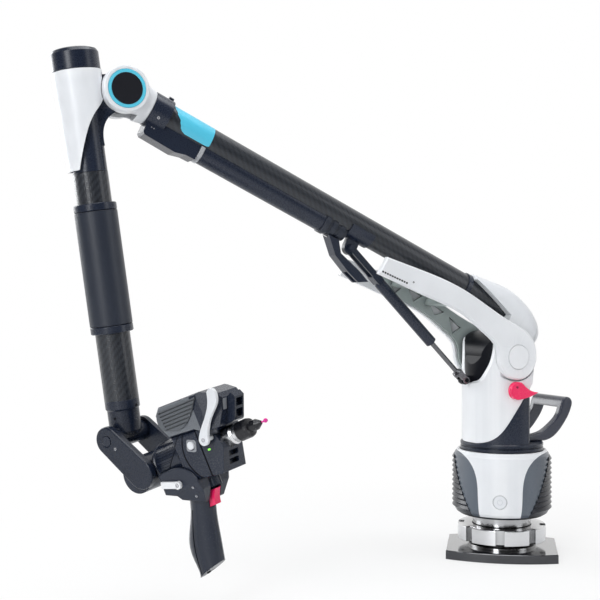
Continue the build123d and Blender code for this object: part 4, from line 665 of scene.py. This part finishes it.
def probe_finish(name):
    """Black probe with a bright foot where it screws into its holder, and a pink ball at its tip."""
    material, start, shader = new_finish(name)
    place = start.place()
    ahead = start.along(place, head_at, head_way)
    speck = start.noise(place, 1200)
    foot = ahead < PROBE_FOOT_END
    shade = start.blend(foot, (0.006, 0.0065, 0.009, 1), (0.8, 0.8, 0.81, 1))
    shade = start.blend(ahead > PROBE_BALL_FROM, shade, (0.72, 0.03, 0.3, 1))
    feed(shader, Base_Color=shade, Metallic=foot, Roughness=0.22 + speck * 0.1,
         Normal=start.relief(speck, 0.02 * mm, 0.6 * mm))
    return material


dress(probe_finish("probe_black"), "probe")

# Studio floor: a wide pale floor, painted matt, a hair below the plate's underside.
# Close to the arm it shows the arm's shadow, and further out it fades into the white behind.
VIEW_TURN = radians(-25.5)
view_way = Vector((-sin(VIEW_TURN), cos(VIEW_TURN), 0))
bpy.ops.mesh.primitive_plane_add(size=14, location=(0, 0, -0.3 * mm))
floor = bpy.context.object
floor.name = "floor"
floor_white, start, shader = new_finish("floor_white")
feed(shader, Base_Color=(0.9, 0.9, 0.9, 1), Roughness=0.6)
reach = start.node("VectorMath", {"operation": "DISTANCE"}, {0: start.place(), 1: (-0.1, -0.05, 0)}, "Value")
fade = start.node("MapRange", {"interpolation_type": "SMOOTHSTEP"},
                  {"Value": reach, "From Min": 0.1, "From Max": 0.75, "To Min": 0.7, "To Max": 1.0})
rear = start.node("MapRange", {"interpolation_type": "SMOOTHSTEP"},
                  {"Value": start.along(start.place(), (0, 0, 0), view_way), "From Min": 0, "From Max": 0.8})
seen = start.math("MAXIMUM", start.node("LightPath", {}, {}, "Is Camera Ray") * fade,
                  start.node("LightPath", {}, {}, "Is Glossy Ray") * rear)
glow = start.node("Emission", {}, {"Color": (1, 1, 1, 1), "Strength": 1.0})
lay_over(start, seen, shader, glow)
floor.data.materials.append(floor_white)

# Studio room: a white backdrop behind the arm and a dim room in front of it, so that gloss stays dark.
# Four soft boxes hang round the arm: a key at the left, a fill at the right, one above and one behind.
ROOM_LIGHT, ROOM_GLOSS = 0.21, 0.07
world = bpy.data.worlds.new("studio")
bpy.context.scene.world = world
world.use_nodes = True
start = Wire(world.node_tree)
seen = start.math("MAXIMUM", start.node("LightPath", {}, {}, "Is Camera Ray"),
                  start.node("LightPath", {}, {}, "Is Transmission Ray"))
mirrored = start.node("LightPath", {}, {}, "Is Glossy Ray")
behind = start.along(start.node("TexCoord", {}, {}, "Generated"), (0, 0, 0), view_way)
backdrop = start.node("MapRange", {"interpolation_type": "SMOOTHSTEP"},
                      {"Value": behind, "From Min": -0.35, "From Max": 0.6,
                       "To Min": ROOM_GLOSS, "To Max": 1.0})
level = seen + (1 - seen) * (mirrored * backdrop + (1 - mirrored) * ROOM_LIGHT)
sky = world.node_tree.nodes["Background"]
sky.inputs["Color"].default_value = (1, 1, 1, 1)
start.tree.links.new(level.socket, sky.inputs["Strength"])
for name, place, aim, wide, tall, power in (
        ("key_lamp", (-2.6, -1.8, 1.4), (-0.3, 0, 0.35), 0.9, 2.4, 50),
        ("fill_lamp", (1.2, -1.5, 0.8), (-0.1, 0, 0.25), 0.8, 1.4, 7),
        ("top_lamp", (-0.3, -0.2, 2.0), (-0.3, 0, 0.3), 1.8, 0.9, 24),
        ("rim_lamp", (-1.2, 1.4, 0.9), (-0.4, 0, 0.35), 0.9, 0.9, 14)):
    lamp = bpy.data.lights.new(name, "AREA")
    lamp.shape = "RECTANGLE"
    lamp.size = wide
    lamp.size_y = tall
    lamp.energy = power
    lamp.color = (0.96, 0.98, 1)
    stand = bpy.data.objects.new(name, lamp)
    stand.location = place
    stand.rotation_euler = (Vector(aim) - Vector(place)).to_track_quat("-Z", "Y").to_euler()
    bpy.context.scene.collection.objects.link(stand)

# Camera: level, at about half the arm's height, and turned a little to the right.
# Its place and lens are matched to the photograph.
camera = bpy.data.cameras.new("camera")
camera.lens = 64.11
camera.sensor_width = 36
eye = bpy.data.objects.new("camera", camera)
eye.location = (-0.8987, -1.2288, 0.3535)
eye.rotation_euler = (pi / 2, 0, VIEW_TURN)
bpy.context.scene.collection.objects.link(eye)
bpy.context.scene.camera = eye
bpy.context.scene.view_settings.view_transform = "Standard"
